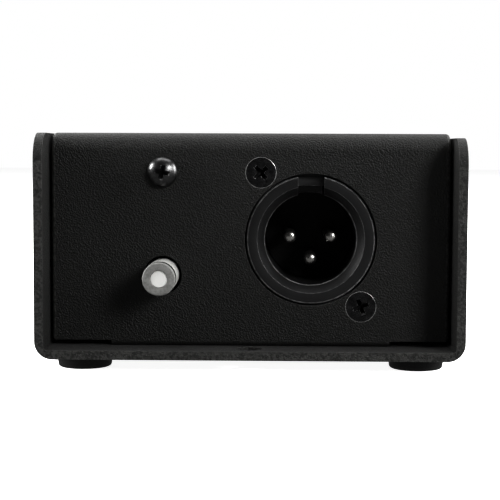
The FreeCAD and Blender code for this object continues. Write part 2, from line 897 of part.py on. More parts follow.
def arc_radius(before, corner, after):
    """Radius of the arc at a corner of a route: as large as the shorter of its two runs allows."""
    run_in = corner - before
    run_out = after - corner
    turn = run_in.getAngle(run_out)
    return 0.45 * min(run_in.Length, run_out.Length) / math.tan(turn / 2)


def rounded_path(points):
    """Straight runs joined by tangent arcs, as one wire."""
    edges = []
    start = points[0]
    for before, corner, after in zip(points, points[1:], points[2:]):
        run_in = (corner - before).normalize()
        run_out = (after - corner).normalize()
        turn = run_in.getAngle(run_out)
        radius = arc_radius(before, corner, after)
        reach = radius * math.tan(turn / 2)
        first = corner - run_in * reach
        last = corner + run_out * reach
        to_middle = (run_out - run_in).normalize()
        bulge = corner + to_middle * (radius / math.cos(turn / 2) - radius)
        edges.append(Part.LineSegment(start, first).toShape())
        edges.append(Part.Arc(first, bulge, last).toShape())
        start = last
    edges.append(Part.LineSegment(start, points[-1]).toShape())
    return Part.Wire(edges)


def swept_round(points, diameter):
    """Round bar of one diameter along a rounded path, with its volume checked."""
    path = rounded_path(points)
    direction = points[1] - points[0]
    section = Part.Wire([Part.makeCircle(diameter / 2, points[0], direction)])
    solid = path.makePipeShell([section], True, True)
    expected = math.pi * diameter ** 2 / 4 * path.Length
    if abs(solid.Volume - expected) > 0.01 * expected:
        raise RuntimeError("a swept wire has the wrong volume")
    return solid


def keep_shape(label, shape):
    """Keep a shape made by Part's own functions as a node."""
    item = doc.addObject("Part::Feature", label)
    item.Shape = shape
    item.Placement = Placement()
    return keep(item, label)


def ground_resistor():
    """Axial resistor standing off the back of the board, its leads bent through the board."""
    x, z = resistor_middle
    level = floor_z + z
    axis_y = d.part_stand - board_back
    reach = d.lead_pitch / 2
    front_y = -board_front - d.lead_tail
    route = [
        point(x - reach, front_y, level), point(x - reach, axis_y, level),
        point(x + reach, axis_y, level), point(x + reach, front_y, level),
    ]
    leads = swept_round(route, d.lead.value)
    middle = point(x - d.resistor_length / 2, axis_y, level)
    body = Part.makeCylinder(d.resistor_body.value / 2, d.resistor_length.value, middle, Vector(1, 0, 0))
    ends = [edge for edge in body.Edges if abs(edge.Length - math.pi * d.resistor_body.value) < 1e-3]
    body = body.makeFillet(d.resistor_round.value, ends)
    keep_shape("ground_resistor", body.fuse(leads).removeSplitter())


def ground_capacitor():
    """Disc capacitor on two straight leads behind the board."""
    x, z = capacitor_middle
    level = floor_z + z
    middle_y = d.part_stand + d.capacitor_diameter / 2 - board_back
    half = d.capacitor_thickness / 2
    disc = Part.makeCylinder(
        d.capacitor_diameter.value / 2, d.capacitor_thickness.value,
        point(x - half, middle_y, level), Vector(1, 0, 0),
    )
    rims = [edge for edge in disc.Edges if abs(edge.Length - math.pi * d.capacitor_diameter.value) < 1e-3]
    disc = disc.makeFillet(d.capacitor_round.value, rims)
    front_y = -board_front - d.lead_tail
    for side in (-1, 1):
        lead_z = level + side * d.capacitor_pitch / 2
        lead = Part.makeCylinder(
            d.lead.value / 2, (middle_y - front_y).value, point(x, front_y, lead_z), Vector(0, 1, 0),
        )
        disc = disc.fuse(lead)
    keep_shape("ground_capacitor", disc.removeSplitter())


# ---------------------------------------------------------------- transformer
# Local Z = 0 is the shell's floor.

def transformer_core():
    """Stack of E and I laminations with two windows."""
    body = new_body("transformer_core")
    half = d.core_width / 2
    limb = d.core_limb
    sketch = new_sketch(body, "XZ")
    rectangle(sketch, -half, 0, half, d.core_height)
    for side in (-1, 1):
        rectangle(sketch, side * limb, limb, side * (half - limb), d.core_height - limb)
    pad(body, sketch, d.core_stack, symmetric=True)
    single("transformer_core", body, 0, 0, floor_z)


def transformer_bobbin():
    """Coil former round the middle limb, with a flange at each end and holes for four pins."""
    body = new_body("transformer_bobbin")
    hole_x = d.core_limb + d.bobbin_play
    hole_y = d.core_stack / 2 + d.bobbin_play
    low = d.core_limb + d.bobbin_play
    high = d.core_height - d.core_limb - d.bobbin_play
    tube = new_sketch(body, "XY", low)
    wall_x = hole_x + d.bobbin_wall
    wall_y = hole_y + d.bobbin_wall
    rectangle(tube, -wall_x, -wall_y, wall_x, wall_y)
    rectangle(tube, -hole_x, -hole_y, hole_x, hole_y)
    pad(body, tube, high - low)
    for level in (low, high - d.bobbin_flange):
        plate = new_sketch(body, "XY", level)
        rectangle(plate, -d.bobbin_reach_x, -d.bobbin_reach_y, d.bobbin_reach_x, d.bobbin_reach_y)
        rectangle(plate, -hole_x, -hole_y, hole_x, hole_y)
        pad(body, plate, d.bobbin_flange)
    pins = new_sketch(body, "XY", high)
    for x in (-d.terminal_pin_x, d.terminal_pin_x):
        for y in (-d.terminal_pin_y, d.terminal_pin_y):
            circle(pins, x, y, d.terminal_pin + d.fit_gap)
    pocket(body, pins, d.bobbin_flange)
    single("transformer_bobbin", body, 0, 0, floor_z)


def transformer_winding():
    """Wound wire between the bobbin's flanges, under its tape."""
    body = new_body("transformer_winding")
    inner_x = d.core_limb + d.bobbin_play + d.bobbin_wall
    inner_y = d.core_stack / 2 + d.bobbin_play + d.bobbin_wall
    outer_x = d.bobbin_reach_x - d.winding_inset
    outer_y = d.bobbin_reach_y - d.winding_inset
    low = d.core_limb + d.bobbin_play + d.bobbin_flange
    high = d.core_height - d.core_limb - d.bobbin_play - d.bobbin_flange
    sketch = new_sketch(body, "XY", low)
    rectangle(sketch, -outer_x, -outer_y, outer_x, outer_y)
    rectangle(sketch, -inner_x, -inner_y, inner_x, inner_y)
    pad(body, sketch, high - low)
    corners = [{"X": sx * outer_x, "Y": sy * outer_y} for sx in (-1, 1) for sy in (-1, 1)]
    fillet(body, 10 * d.winding_inset, corners)
    single("transformer_winding", body, 0, 0, floor_z)


def transformer_frame():
    """Strap over the core with a screw tab on each side."""
    body = new_body("transformer_frame")
    inner = d.core_width / 2 + d.bobbin_play
    outer = inner + d.strap
    roof = d.core_height + d.bobbin_play
    sketch = new_sketch(body, "XZ")
    polygon(sketch, [
        (-d.strap_reach, 0), (-inner, 0), (-inner, roof), (inner, roof), (inner, 0), (d.strap_reach, 0),
        (d.strap_reach, d.strap), (outer, d.strap), (outer, roof + d.strap), (-outer, roof + d.strap),
        (-outer, d.strap), (-d.strap_reach, d.strap),
    ])
    pad(body, sketch, d.strap_width, symmetric=True)
    fillet(body, d.strap, [{"X": outer, "Z": roof + d.strap}, {"X": -outer, "Z": roof + d.strap}])
    holes = new_sketch(body, "XY", d.strap)
    for x in (-d.strap_screw_x, d.strap_screw_x):
        circle(holes, x, 0, d.screw_hole)
    pocket(body, holes, d.strap)
    single("transformer_frame", body, 0, 0, floor_z)


def transformer_pins():
    """Four terminal pins on the bobbin's upper flange."""
    master = new_body("transformer_pin")
    low = d.core_height - d.core_limb - d.bobbin_play - d.bobbin_flange
    sketch = new_sketch(master, "XY", low)
    circle(sketch, 0, 0, d.terminal_pin)
    pad(master, sketch, d.terminal_pin_top - low)
    group("transformer_pins", master, [
        (x, y, floor_z, Rotation())
        for x in (-d.terminal_pin_x, d.terminal_pin_x)
        for y in (-d.terminal_pin_y, d.terminal_pin_y)
    ])


def transformer_fasteners():
    """Two pan screws from below the shell and their nuts on the strap's tabs."""
    screw = pan_screw("transformer_screw", d.strap_screw_length)
    nut = hex_nut("transformer_nut", d.nut_flats, d.nut_height, d.thread_hole)
    sides = (-d.strap_screw_x, d.strap_screw_x)
    group("transformer_screws", screw, [(x, 0, d.foot_height, UPSIDE_DOWN) for x in sides])
    group("transformer_nuts", nut, [(x, 0, floor_z + d.strap, Rotation()) for x in sides])


# ---------------------------------------------------------------- jack sockets
# Local axes of a jack: +Z points out of the rear panel, +Y is up, Z = 0 is the panel's outer face.

jack_back = -d.sheet - d.jack_depth
seat_level = -d.sheet - d.jack_seat
contact_high = d.contact_place + d.contact / 2
contact_low = d.contact_place - d.contact / 2


def put_in_jack(label, body, x, level=0):
    """Place a piece of a jack, moved out along its axis."""
    single(label, body, x, panel_y + level, floor_z + d.jack_height, FACING_REAR)


def slot(body, low_y, high_y, low_z, high_z):
    """Cut a slot for a contact strip, given in the jack's upright middle plane."""
    sketch = new_sketch(body, "YZ")
    rectangle(sketch, low_y, low_z, high_y, high_z)
    pocket(body, sketch, d.contact_slot, symmetric=True)


def jack_housing(prefix, x):
    """Moulded jack body with the plug's bore, the bushing's seat and slots for its two contacts."""
    body = new_body(prefix + "_housing")
    half = d.jack_width / 2
    tall = d.jack_tall / 2
    block = new_sketch(body, "XY", jack_back)
    rectangle(block, -half, -tall, half, tall)
    pad(body, block, d.jack_depth)
    fillet(body, d.jack_round, [{"X": sx * half, "Y": sy * tall} for sx in (-1, 1) for sy in (-1, 1)])
    bore = new_sketch(body, "XY", -d.sheet)
    circle(bore, 0, 0, d.jack_barrel)
    pocket(body, bore, d.jack_depth)
    seat = new_sketch(body, "XY", -d.sheet)
    circle(seat, 0, 0, d.jack_thread + 2 * d.fit_gap)
    pocket(body, seat, d.jack_seat)
    high = contact_high + d.slot_play
    low = contact_low - d.slot_play
    slot(body, d.tip_slot_low, high, jack_back, jack_back + d.tip_slot_length)
    slot(body, -high, -low, jack_back, seat_level)
    slot(body, -high, d.slot_play - d.sleeve_tab, seat_level - d.sleeve_tab_room, seat_level)
    put_in_jack(prefix + "_housing", body, x)


def jack_bushing(prefix, x):
    """Threaded metal bushing, seated in the housing and standing out through the panel."""
    body = new_body(prefix + "_bushing")
    sketch = new_sketch(body, "XY", seat_level)
    circle(sketch, 0, 0, d.jack_thread)
    circle(sketch, 0, 0, d.jack_bore)
    pad(body, sketch, d.jack_reach - seat_level)
    chamfer(body, d.thread_chamfer, [{"Z": d.jack_reach}], ring=d.jack_thread)
    put_in_jack(prefix + "_bushing", body, x)


def jack_nut_and_washer(prefix, x):
    """Hexagon nut and flat washer on the bushing, outside the panel."""
    hole = d.jack_thread + 2 * d.fit_gap
    washer = new_body(prefix + "_washer")
    sketch = new_sketch(washer, "XY")
    circle(sketch, 0, 0, d.jack_washer)
    circle(sketch, 0, 0, hole)
    pad(washer, sketch, d.jack_washer_height)
    put_in_jack(prefix + "_washer", washer, x)
    nut = hex_nut(prefix + "_nut", d.jack_nut_flats, d.jack_nut_height, hole)
    put_in_jack(prefix + "_nut", nut, x, d.jack_washer_height)


def contact_strip(label, corners, x):
    """Flat brass contact, drawn in the jack's upright middle plane."""
    body = new_body(label)
    sketch = new_sketch(body, "YZ")
    polygon(sketch, corners)
    pad(body, sketch, d.contact_width, symmetric=True)
    put_in_jack(label, body, x)


def jack_contacts(prefix, x):
    """Tip spring above the bore, folded down to the plug, and the sleeve strip below it."""
    lug_end = jack_back - d.contact_lug
    fold = jack_back + d.tip_fold
    knee = fold - d.tip_knee_length
    end = knee - d.tip_end_length
    leaf = d.tip_leaf
    contact_strip(prefix + "_tip_contact", [
        (contact_high, lug_end), (contact_high, fold), (contact_low - d.fit_gap, fold),
        (d.tip_knee_height, knee), (d.tip_end_height, end), (d.tip_end_height + leaf, end + leaf / 2),
        (d.tip_knee_height + leaf, knee), (contact_low, fold - 2 * leaf), (contact_low, lug_end),
    ], x)
    seat = seat_level - d.fit_gap
    contact_strip(prefix + "_sleeve_contact", [
        (-contact_high, lug_end), (-contact_low, lug_end), (-contact_low, seat - d.contact),
        (-d.sleeve_tab, seat - d.contact), (-d.sleeve_tab, seat), (-contact_high, seat),
    ], x)


def jack(prefix, x):
    """One complete jack socket."""
    jack_housing(prefix, x)
    jack_bushing(prefix, x)
    jack_nut_and_washer(prefix, x)
    jack_contacts(prefix, x)


# ---------------------------------------------------------------- hookup wires

def hookup_wires():
    """Eight insulated wires between the sockets, the transformer and the board."""
    cup = d.xlr_depth + d.cup_length - d.cup_bore_depth - panel_y
    left, right, bottom = [(d.xlr_x + x, floor_z + d.xlr_height + y) for x, y in pin_places()]
    lug = panel_y + jack_back - d.contact_lug
    tip_z = floor_z + d.jack_height + d.contact_place
    sleeve_z = floor_z + d.jack_height - d.contact_place
    inner = d.jack_x - d.wire_spread
    outer = d.jack_x + d.wire_spread
    pin_x = d.terminal_pin_x
    pin_y = d.terminal_pin_y
    pin_z = floor_z + d.terminal_pin_top
    board_y = -board_back
    routes = {
        "wire_pin_1": [
            (left[0], cup, left[1]), (left[0], -17, left[1]), (-3, -15, 26), (-9, -20, 30),
            (-9, board_y, 30),
        ],
        "wire_pin_2": [
            (right[0], cup, right[1]), (right[0], -17.5, right[1]), (15, -14.5, 36),
            (pin_x, -pin_y, 36), (pin_x, -pin_y, pin_z),
        ],
        "wire_pin_3": [
            (bottom[0], cup, bottom[1]), (bottom[0], -18, bottom[1]), (-8, -16.5, 20), (-11, -16, 36),
            (-pin_x, -pin_y, 36), (-pin_x, -pin_y, pin_z),
        ],
        "wire_input_hot": [
            (outer, lug, tip_z), (outer, 13, tip_z), (13, 13, 38), (-pin_x, pin_y, 37.5),
            (-pin_x, pin_y, pin_z),
        ],
        "wire_input_cold": [
            (outer, lug, sleeve_z), (outer, 14, sleeve_z), (21, 12.5, 36), (pin_x, pin_y, 36),
            (pin_x, pin_y, pin_z),
        ],
        "wire_tip_link": [
            (inner, lug, tip_z), (inner, 14, tip_z), (0, 13, 24), (-inner, 14, tip_z),
            (-inner, lug, tip_z),
        ],
        "wire_sleeve_link": [
            (inner, lug, sleeve_z), (inner, 14, sleeve_z), (0, 13, 14), (-inner, 14, sleeve_z),
            (-inner, lug, sleeve_z),
        ],
        "wire_ground": [
            (-outer, lug, sleeve_z), (-outer, 13.5, sleeve_z), (-24.5, 3, 14), (-25.5, -14, 14.5),
            (-26, -25, 13), (-26, board_y, 13),
        ],
    }
    for label, corners in routes.items():
        points = [point(*corner) for corner in corners]
        radii = [arc_radius(*three) for three in zip(points, points[1:], points[2:])]
        print(label, "arc radii:", ", ".join(f"{radius:.1f}" for radius in radii))
        keep_shape(label, swept_round(points, d.wire.value))


# ---------------------------------------------------------------- assembly and writing

def build():
    """Make every piece of the box."""
    base_shell()
    top_cover()
    feet()
    cover_fasteners()
    xlr_housing()
    xlr_insert()
    xlr_pins()
    xlr_fasteners()
    ground_lift_cap()
    switch_plunger()
    switch_wipers()
    switch_spring()
    switch_housing()
    switch_base()
    switch_terminals()
    circuit_board()
    board_hardware()
    ground_resistor()
    ground_capacitor()
    transformer_core()
    transformer_bobbin()
    transformer_winding()
    transformer_frame()
    transformer_pins()
    transformer_fasteners()
    jack("input_jack", d.jack_x)
    jack("thru_jack", -d.jack_x)
    hookup_wires()


def check():
    """Stop if an object failed or a sub-part has no valid solid."""
    for item in doc.Objects:
        if "Invalid" in item.State or "Error" in item.State:
            raise RuntimeError(f"{item.Label} failed: {item.State}")
    for item in sub_parts:
        if item.Shape.isNull() or not item.Shape.isValid() or not item.Shape.Solids:
            raise RuntimeError(f"{item.Label} has no valid solid")


def write():
    """Write one STEP file for each sub-part."""
    os.makedirs("parts", exist_ok=True)
    for item in sub_parts:
        item.Shape.exportStep(f"parts/{item.Label}.step")
    print(len(sub_parts), "sub-parts written")


build()
doc.recompute()
check()
write()
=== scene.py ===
"""Looks of a passive direct injection box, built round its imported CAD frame.

Lengths are metres in the frame's axes: +X right, +Y to the rear, +Z up, the origin on the
surface under the feet. Outlines of small pieces are written in millimetres, times MM.
"""

import json
import math

import bmesh
import bpy
from mathutils import Matrix, Vector


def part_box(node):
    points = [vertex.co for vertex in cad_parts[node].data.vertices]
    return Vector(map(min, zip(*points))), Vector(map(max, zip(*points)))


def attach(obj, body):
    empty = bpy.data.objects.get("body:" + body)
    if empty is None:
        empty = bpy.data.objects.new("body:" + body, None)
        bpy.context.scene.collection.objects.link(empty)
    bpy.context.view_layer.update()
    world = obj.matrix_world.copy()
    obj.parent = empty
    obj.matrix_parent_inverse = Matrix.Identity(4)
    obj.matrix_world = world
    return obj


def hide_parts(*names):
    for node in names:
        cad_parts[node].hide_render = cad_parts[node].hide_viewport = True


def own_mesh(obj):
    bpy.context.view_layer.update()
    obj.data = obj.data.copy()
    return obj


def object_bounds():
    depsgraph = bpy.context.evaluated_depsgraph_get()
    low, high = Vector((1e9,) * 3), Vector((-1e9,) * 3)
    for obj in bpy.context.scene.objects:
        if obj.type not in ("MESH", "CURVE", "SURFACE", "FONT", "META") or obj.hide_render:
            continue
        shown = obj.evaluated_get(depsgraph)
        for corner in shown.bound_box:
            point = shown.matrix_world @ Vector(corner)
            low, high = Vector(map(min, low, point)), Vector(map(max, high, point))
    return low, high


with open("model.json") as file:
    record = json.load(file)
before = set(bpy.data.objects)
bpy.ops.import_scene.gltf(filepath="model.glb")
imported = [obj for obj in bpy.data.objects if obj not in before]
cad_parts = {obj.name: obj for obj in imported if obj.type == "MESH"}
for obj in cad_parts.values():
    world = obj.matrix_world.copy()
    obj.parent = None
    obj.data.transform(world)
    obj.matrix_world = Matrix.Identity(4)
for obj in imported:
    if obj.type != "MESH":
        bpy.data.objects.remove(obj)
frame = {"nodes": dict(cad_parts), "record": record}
cad_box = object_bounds()

MM = 0.001
FULL_TURN = 2 * math.pi
WELD = 0.001 * MM
TOUCH = 0.01 * MM
NOISE_ROUGHNESS = 0.55
WAVE_PITCH = 0.314159  # pitch of a wave texture whose scale is 1
node_slots = {row["node"]: row["material_slot"] for row in frame["record"]["subparts"]}
node_bodies = {
    node: body
    for body, members in frame["record"]["behaviour"]["bodies"].items()
    for node in members
}


# ---- node helpers

def set_inputs(node, values):
    """Set inputs of a node, their names written with underscores."""
    for name, value in values.items():
        node.inputs[name.replace("_", " ")].default_value = value


class Surface:
    """A material under construction: its node tree and its shader."""

    def __init__(self, name):
        self.material = bpy.data.materials.new(name)
        self.material.use_nodes = True
        self.nodes = self.material.node_tree.nodes
        self.links = self.material.node_tree.links
        self.shader = self.nodes["Principled BSDF"]

    def add(self, kind, **values):
        """New node of a kind, with some of its inputs set."""
        node = self.nodes.new(kind)
        set_inputs(node, values)
        return node

    def constant(self, **values):
        """Set inputs of the shader."""
        set_inputs(self.shader, values)

    def feed(self, output, socket):
        """Link an output to a socket of the shader."""
        self.links.new(output, self.shader.inputs[socket])

    def place(self, stretch=(1, 1, 1)):
        """Coordinates in metres, divided along each axis by a stretch."""
        source = self.add("ShaderNodeTexCoord")
        mapping = self.add("ShaderNodeMapping", Scale=[1 / amount for amount in stretch])
        self.links.new(source.outputs["Object"], mapping.inputs["Vector"])
        return mapping.outputs["Vector"]

    def noise(self, size, detail=3.0, stretch=(1, 1, 1)):
        """Noise with grains about size metres across."""
        node = self.add(
            "ShaderNodeTexNoise", Scale=1 / size, Detail=detail, Roughness=NOISE_ROUGHNESS,
        )
        self.links.new(self.place(stretch), node.inputs["Vector"])
        return node.outputs["Fac"]

    def cells(self, size):
        """Smoothed distance to the nearest of scattered points about size metres apart."""
        node = self.add("ShaderNodeTexVoronoi", Scale=1 / size)
        node.feature = "SMOOTH_F1"
        self.links.new(self.place(), node.inputs["Vector"])
        return node.outputs["Distance"]

    def stripes(self, pitch, axis):
        """Wave of one pitch in metres along an axis."""
        node = self.add("ShaderNodeTexWave", Scale=WAVE_PITCH / pitch, Distortion=0.0)
        node.bands_direction = axis
        self.links.new(self.place(), node.inputs["Vector"])
        return node.outputs["Fac"]

    def span(self, source, low, high, out_low, out_high):
        """Map a range of values to another one, clamped."""
        node = self.add(
            "ShaderNodeMapRange", From_Min=low, From_Max=high, To_Min=out_low, To_Max=out_high,
        )
        self.links.new(source, node.inputs["Value"])
        return node.outputs["Result"]

    def math(self, operation, first, second):
        """Combine two values, each an output or a number."""
        node = self.add("ShaderNodeMath")
        node.operation = operation
        for socket, value in zip(node.inputs, (first, second)):
            if isinstance(value, (int, float)):
                socket.default_value = value
            else:
                self.links.new(value, socket)
        return node.outputs["Value"]

    def mix(self, factor, first, second):
        """Mix two colours, each an output or an RGB triple."""
        node = self.add("ShaderNodeMix")
        node.data_type = "RGBA"
        self.links.new(factor, node.inputs["Factor"])
        for name, value in (("A", first), ("B", second)):
            if isinstance(value, tuple):
                node.inputs[name].default_value = (*value, 1)
            else:
                self.links.new(value, node.inputs[name])
        return node.outputs["Result"]

    def blend(self, source, low, high, first, second):
        """Go from one colour to another as a value goes from low to high."""
        return self.mix(self.span(source, low, high, 0, 1), first, second)

    def marked(self, name="edge"):
        """How much a mark on the mesh's faces covers a place, from 0 to 1."""
        node = self.add("ShaderNodeAttribute")
        node.attribute_name = name
        return node.outputs["Fac"]

    def worn_and_highlit(self, source, low, high, least):
        """How light the marked edges are, partly worn and partly a painted highlight: the least of it
        up to 1, as a value goes from low to high.
        """
        return self.math("MULTIPLY", self.marked(), self.span(source, low, high, least, 1.0))

    def bump(self, height, distance):
        """Relief of a height between 0 and 1, times a distance in metres."""
        node = self.add("ShaderNodeBump", Distance=distance)
        self.links.new(height, node.inputs["Height"])
        self.feed(node.outputs["Normal"], "Normal")


# ---- materials

def grey(level):
    """Neutral colour of a level."""
    return (level, level, level)


def powder_coat():
    """Black powder coat: a fine pebbled skin with a dull sheen, greyer on the edges, partly where it
    thins and partly as a painted highlight.
    """
    s = Surface("powder_coat")
    pebble = s.cells(0.26 * MM)
    fine = s.noise(0.12 * MM, detail=2.0)
    wear_and_highlight_noise = s.noise(0.5 * MM, detail=5.0)
    tone = s.blend(s.noise(9 * MM), 0.3, 0.7, (0.0076, 0.0076, 0.0068), (0.0102, 0.0102, 0.0092))
    tone = s.mix(s.span(fine, 0.55, 0.72, 0, 0.6), tone, (0.029, 0.029, 0.026))
    # Marked edges and cut faces go lighter grey: partly thin, worn coat, partly a painted highlight.
    s.feed(s.mix(s.worn_and_highlit(wear_and_highlight_noise, 0.42, 0.58, 0.15), tone, (0.074, 0.074, 0.070)), "Base Color")
    s.feed(s.span(fine, 0.3, 0.7, 0.42, 0.58), "Roughness")
    s.constant(Specular_IOR_Level=0.5, Sheen_Weight=0.06, Sheen_Roughness=0.45)
    relief = s.math("ADD", s.math("MULTIPLY", pebble, 0.8), s.math("MULTIPLY", fine, 0.5))
    s.bump(relief, 0.14 * MM)
    return s.material


def cast_paint():
    """Smooth black paint on the die-cast socket, lighter in thin lines along its edges: painted
    highlights, the paint partly worn there.
    """
    s = Surface("socket_casting")
    fine = s.noise(0.3 * MM)
    tone = s.blend(s.noise(4 * MM), 0.35, 0.65, (0.015, 0.015, 0.0155), (0.020, 0.020, 0.0205))
    # Edges lightened to grey 0.34: painted highlight lines along the rims, the paint partly worn there.
    s.feed(s.mix(s.worn_and_highlit(s.noise(1.1 * MM), 0.38, 0.62, 0.3), tone, grey(0.34)), "Base Color")
    s.feed(s.span(fine, 0.3, 0.7, 0.42, 0.56), "Roughness")
    s.bump(fine, 0.015 * MM)
    return s.material


def metal(name, dark, light, rough, scratch=(1, 1, 1), depth=0.004):
    """Bare or plated metal with faint drawing marks and uneven gloss."""
    s = Surface(name)
    marks = s.noise(0.12 * MM, detail=2.0, stretch=scratch)
    stain = s.noise(2.2 * MM)
    s.feed(s.blend(stain, 0.35, 0.65, dark, light), "Base Color")
    s.feed(s.span(s.math("ADD", marks, stain), 0.7, 1.3, *rough), "Roughness")
    s.constant(Metallic=1.0)
    s.bump(marks, depth * MM)
    return s.material


def moulded(name, dark, light, rough, grain=0.25, depth=0.008, specular=0.5):
    """Moulded plastic or rubber with a fine grain."""
    s = Surface(name)
    fine = s.noise(grain * MM)
    s.feed(s.blend(s.noise(4 * MM), 0.35, 0.65, dark, light), "Base Color")
    s.feed(s.span(fine, 0.3, 0.7, *rough), "Roughness")
    s.constant(Specular_IOR_Level=specular)
    s.bump(fine, depth * MM)
    return s.material


def button_ring():
    """Grey ring of the button, mottled, darkened in its groove as painted shade, its collar behind
    lightened as a painted highlight.
    """
    s = Surface("button_grey")
    blotch = s.noise(0.7 * MM, detail=4.0)
    fine = s.noise(0.2 * MM)
    tone = s.blend(blotch, 0.35, 0.65, (0.24, 0.24, 0.232), (0.345, 0.345, 0.335))
    # Painted shade: the groove's faces darkened.
    tone = s.mix(s.marked("groove_shade"), tone, (0.05, 0.05, 0.047))
    # Painted highlight: the collar's faces lightened.
    s.feed(s.mix(s.marked(), tone, (0.66, 0.66, 0.64)), "Base Color")
    s.feed(s.span(fine, 0.3, 0.7, 0.2, 0.3), "Roughness")
    s.bump(fine, 0.008 * MM)
    return s.material


def plated_screw(name, dark, light, worn_and_glint, rough, metallic):
    """Screw plating, uneven in tone and lighter on the edges of its head and recess, partly worn and
    partly painted highlights and glints.
    """
    s = Surface(name)
    stain = s.noise(0.9 * MM)
    marks = s.noise(0.1 * MM, detail=2.0)
    tone = s.blend(stain, 0.3, 0.7, dark, light)
    # Edges of head and recess take the lighter colour: worn plating and painted glints.
    s.feed(s.mix(s.worn_and_highlit(stain, 0.35, 0.6, 0.45), tone, worn_and_glint), "Base Color")
    s.feed(s.span(marks, 0.3, 0.7, *rough), "Roughness")
    s.constant(Metallic=metallic)
    s.bump(marks, 0.003 * MM)
    return s.material


def core_steel():
    """Transformer steel: blue-grey oxide, darker where the varnish pooled."""
    s = Surface("core_steel")
    stain = s.noise(1.6 * MM, detail=5.0)
    marks = s.noise(0.1 * MM, stretch=(6, 1, 1))
    s.feed(s.blend(stain, 0.35, 0.7, (0.16, 0.165, 0.18), (0.40, 0.40, 0.39)), "Base Color")
    s.feed(s.span(marks, 0.3, 0.7, 0.3, 0.5), "Roughness")
    s.constant(Metallic=1.0)
    s.bump(marks, 0.004 * MM)
    return s.material


def winding_tape():
    """Glossy amber tape wound over the wire, whose turns show through as fine ridges."""
    s = Surface("winding_tape")
    turns = s.stripes(0.34 * MM, "Z")
    wrinkle = s.noise(1.4 * MM, stretch=(1, 1, 4))
    tone = s.blend(wrinkle, 0.35, 0.65, (0.44, 0.20, 0.025), (0.56, 0.30, 0.045))
    s.feed(s.mix(s.math("MULTIPLY", turns, 0.35), tone, (0.30, 0.11, 0.02)), "Base Color")
    s.constant(Roughness=0.22, Coat_Weight=0.4, Coat_Roughness=0.1)
    s.bump(s.math("ADD", turns, s.math("MULTIPLY", wrinkle, 2.0)), 0.02 * MM)
    return s.material


def resistor_body():
    """Blue-lacquered resistor with generic colour bands round its middle."""
    s = Surface("resistor_body")
    low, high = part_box("ground_resistor")
    split = s.add("ShaderNodeSeparateXYZ")
    s.links.new(s.place(), split.inputs["Vector"])
    tone = s.blend(s.noise(1.2 * MM), 0.35, 0.65, (0.10, 0.27, 0.42), (0.14, 0.34, 0.50))
    bands = {-2.1: (0.18, 0.05, 0.02), -0.9: grey(0.01), 0.1: grey(0.01), 1.9: (0.42, 0.28, 0.05)}
    for offset, colour in bands.items():
        centre = (low.x + high.x) / 2 + offset * MM
        away = s.math("ABSOLUTE", s.math("SUBTRACT", split.outputs["X"], centre), 0)
        tone = s.mix(s.span(away, 0.26 * MM, 0.30 * MM, 1, 0), tone, colour)
    s.feed(tone, "Base Color")
    s.constant(Roughness=0.28)
    s.bump(s.noise(0.5 * MM), 0.02 * MM)
    return s.material


def board_green():
    """Solder mask over copper tracks: slightly lighter where copper lies beneath."""
    s = Surface("board_green")
    weave = s.math("ADD", s.stripes(0.5 * MM, "X"), s.stripes(0.5 * MM, "Z"))
    tracks = s.span(s.noise(7 * MM, detail=0.0, stretch=(1, 1, 3)), 0.5, 0.52, 0, 1)
    tone = s.mix(tracks, (0.010, 0.085, 0.032), (0.022, 0.150, 0.058))
    s.feed(s.mix(s.math("MULTIPLY", weave, 0.1), tone, (0.06, 0.12, 0.04)), "Base Color")
    s.constant(Roughness=0.3)
    s.bump(s.math("ADD", s.math("MULTIPLY", weave, 0.15), tracks), 0.02 * MM)
    return s.material


def insulation(name, dark, light):
    """Glossy wire insulation with the strands' lay faintly showing."""
    s = Surface(name)
    s.feed(s.blend(s.noise(2.5 * MM), 0.35, 0.65, dark, light), "Base Color")
    s.feed(s.span(s.noise(0.6 * MM), 0.3, 0.7, 0.25, 0.4), "Roughness")
    s.bump(s.noise(0.5 * MM), 0.012 * MM)
    return s.material


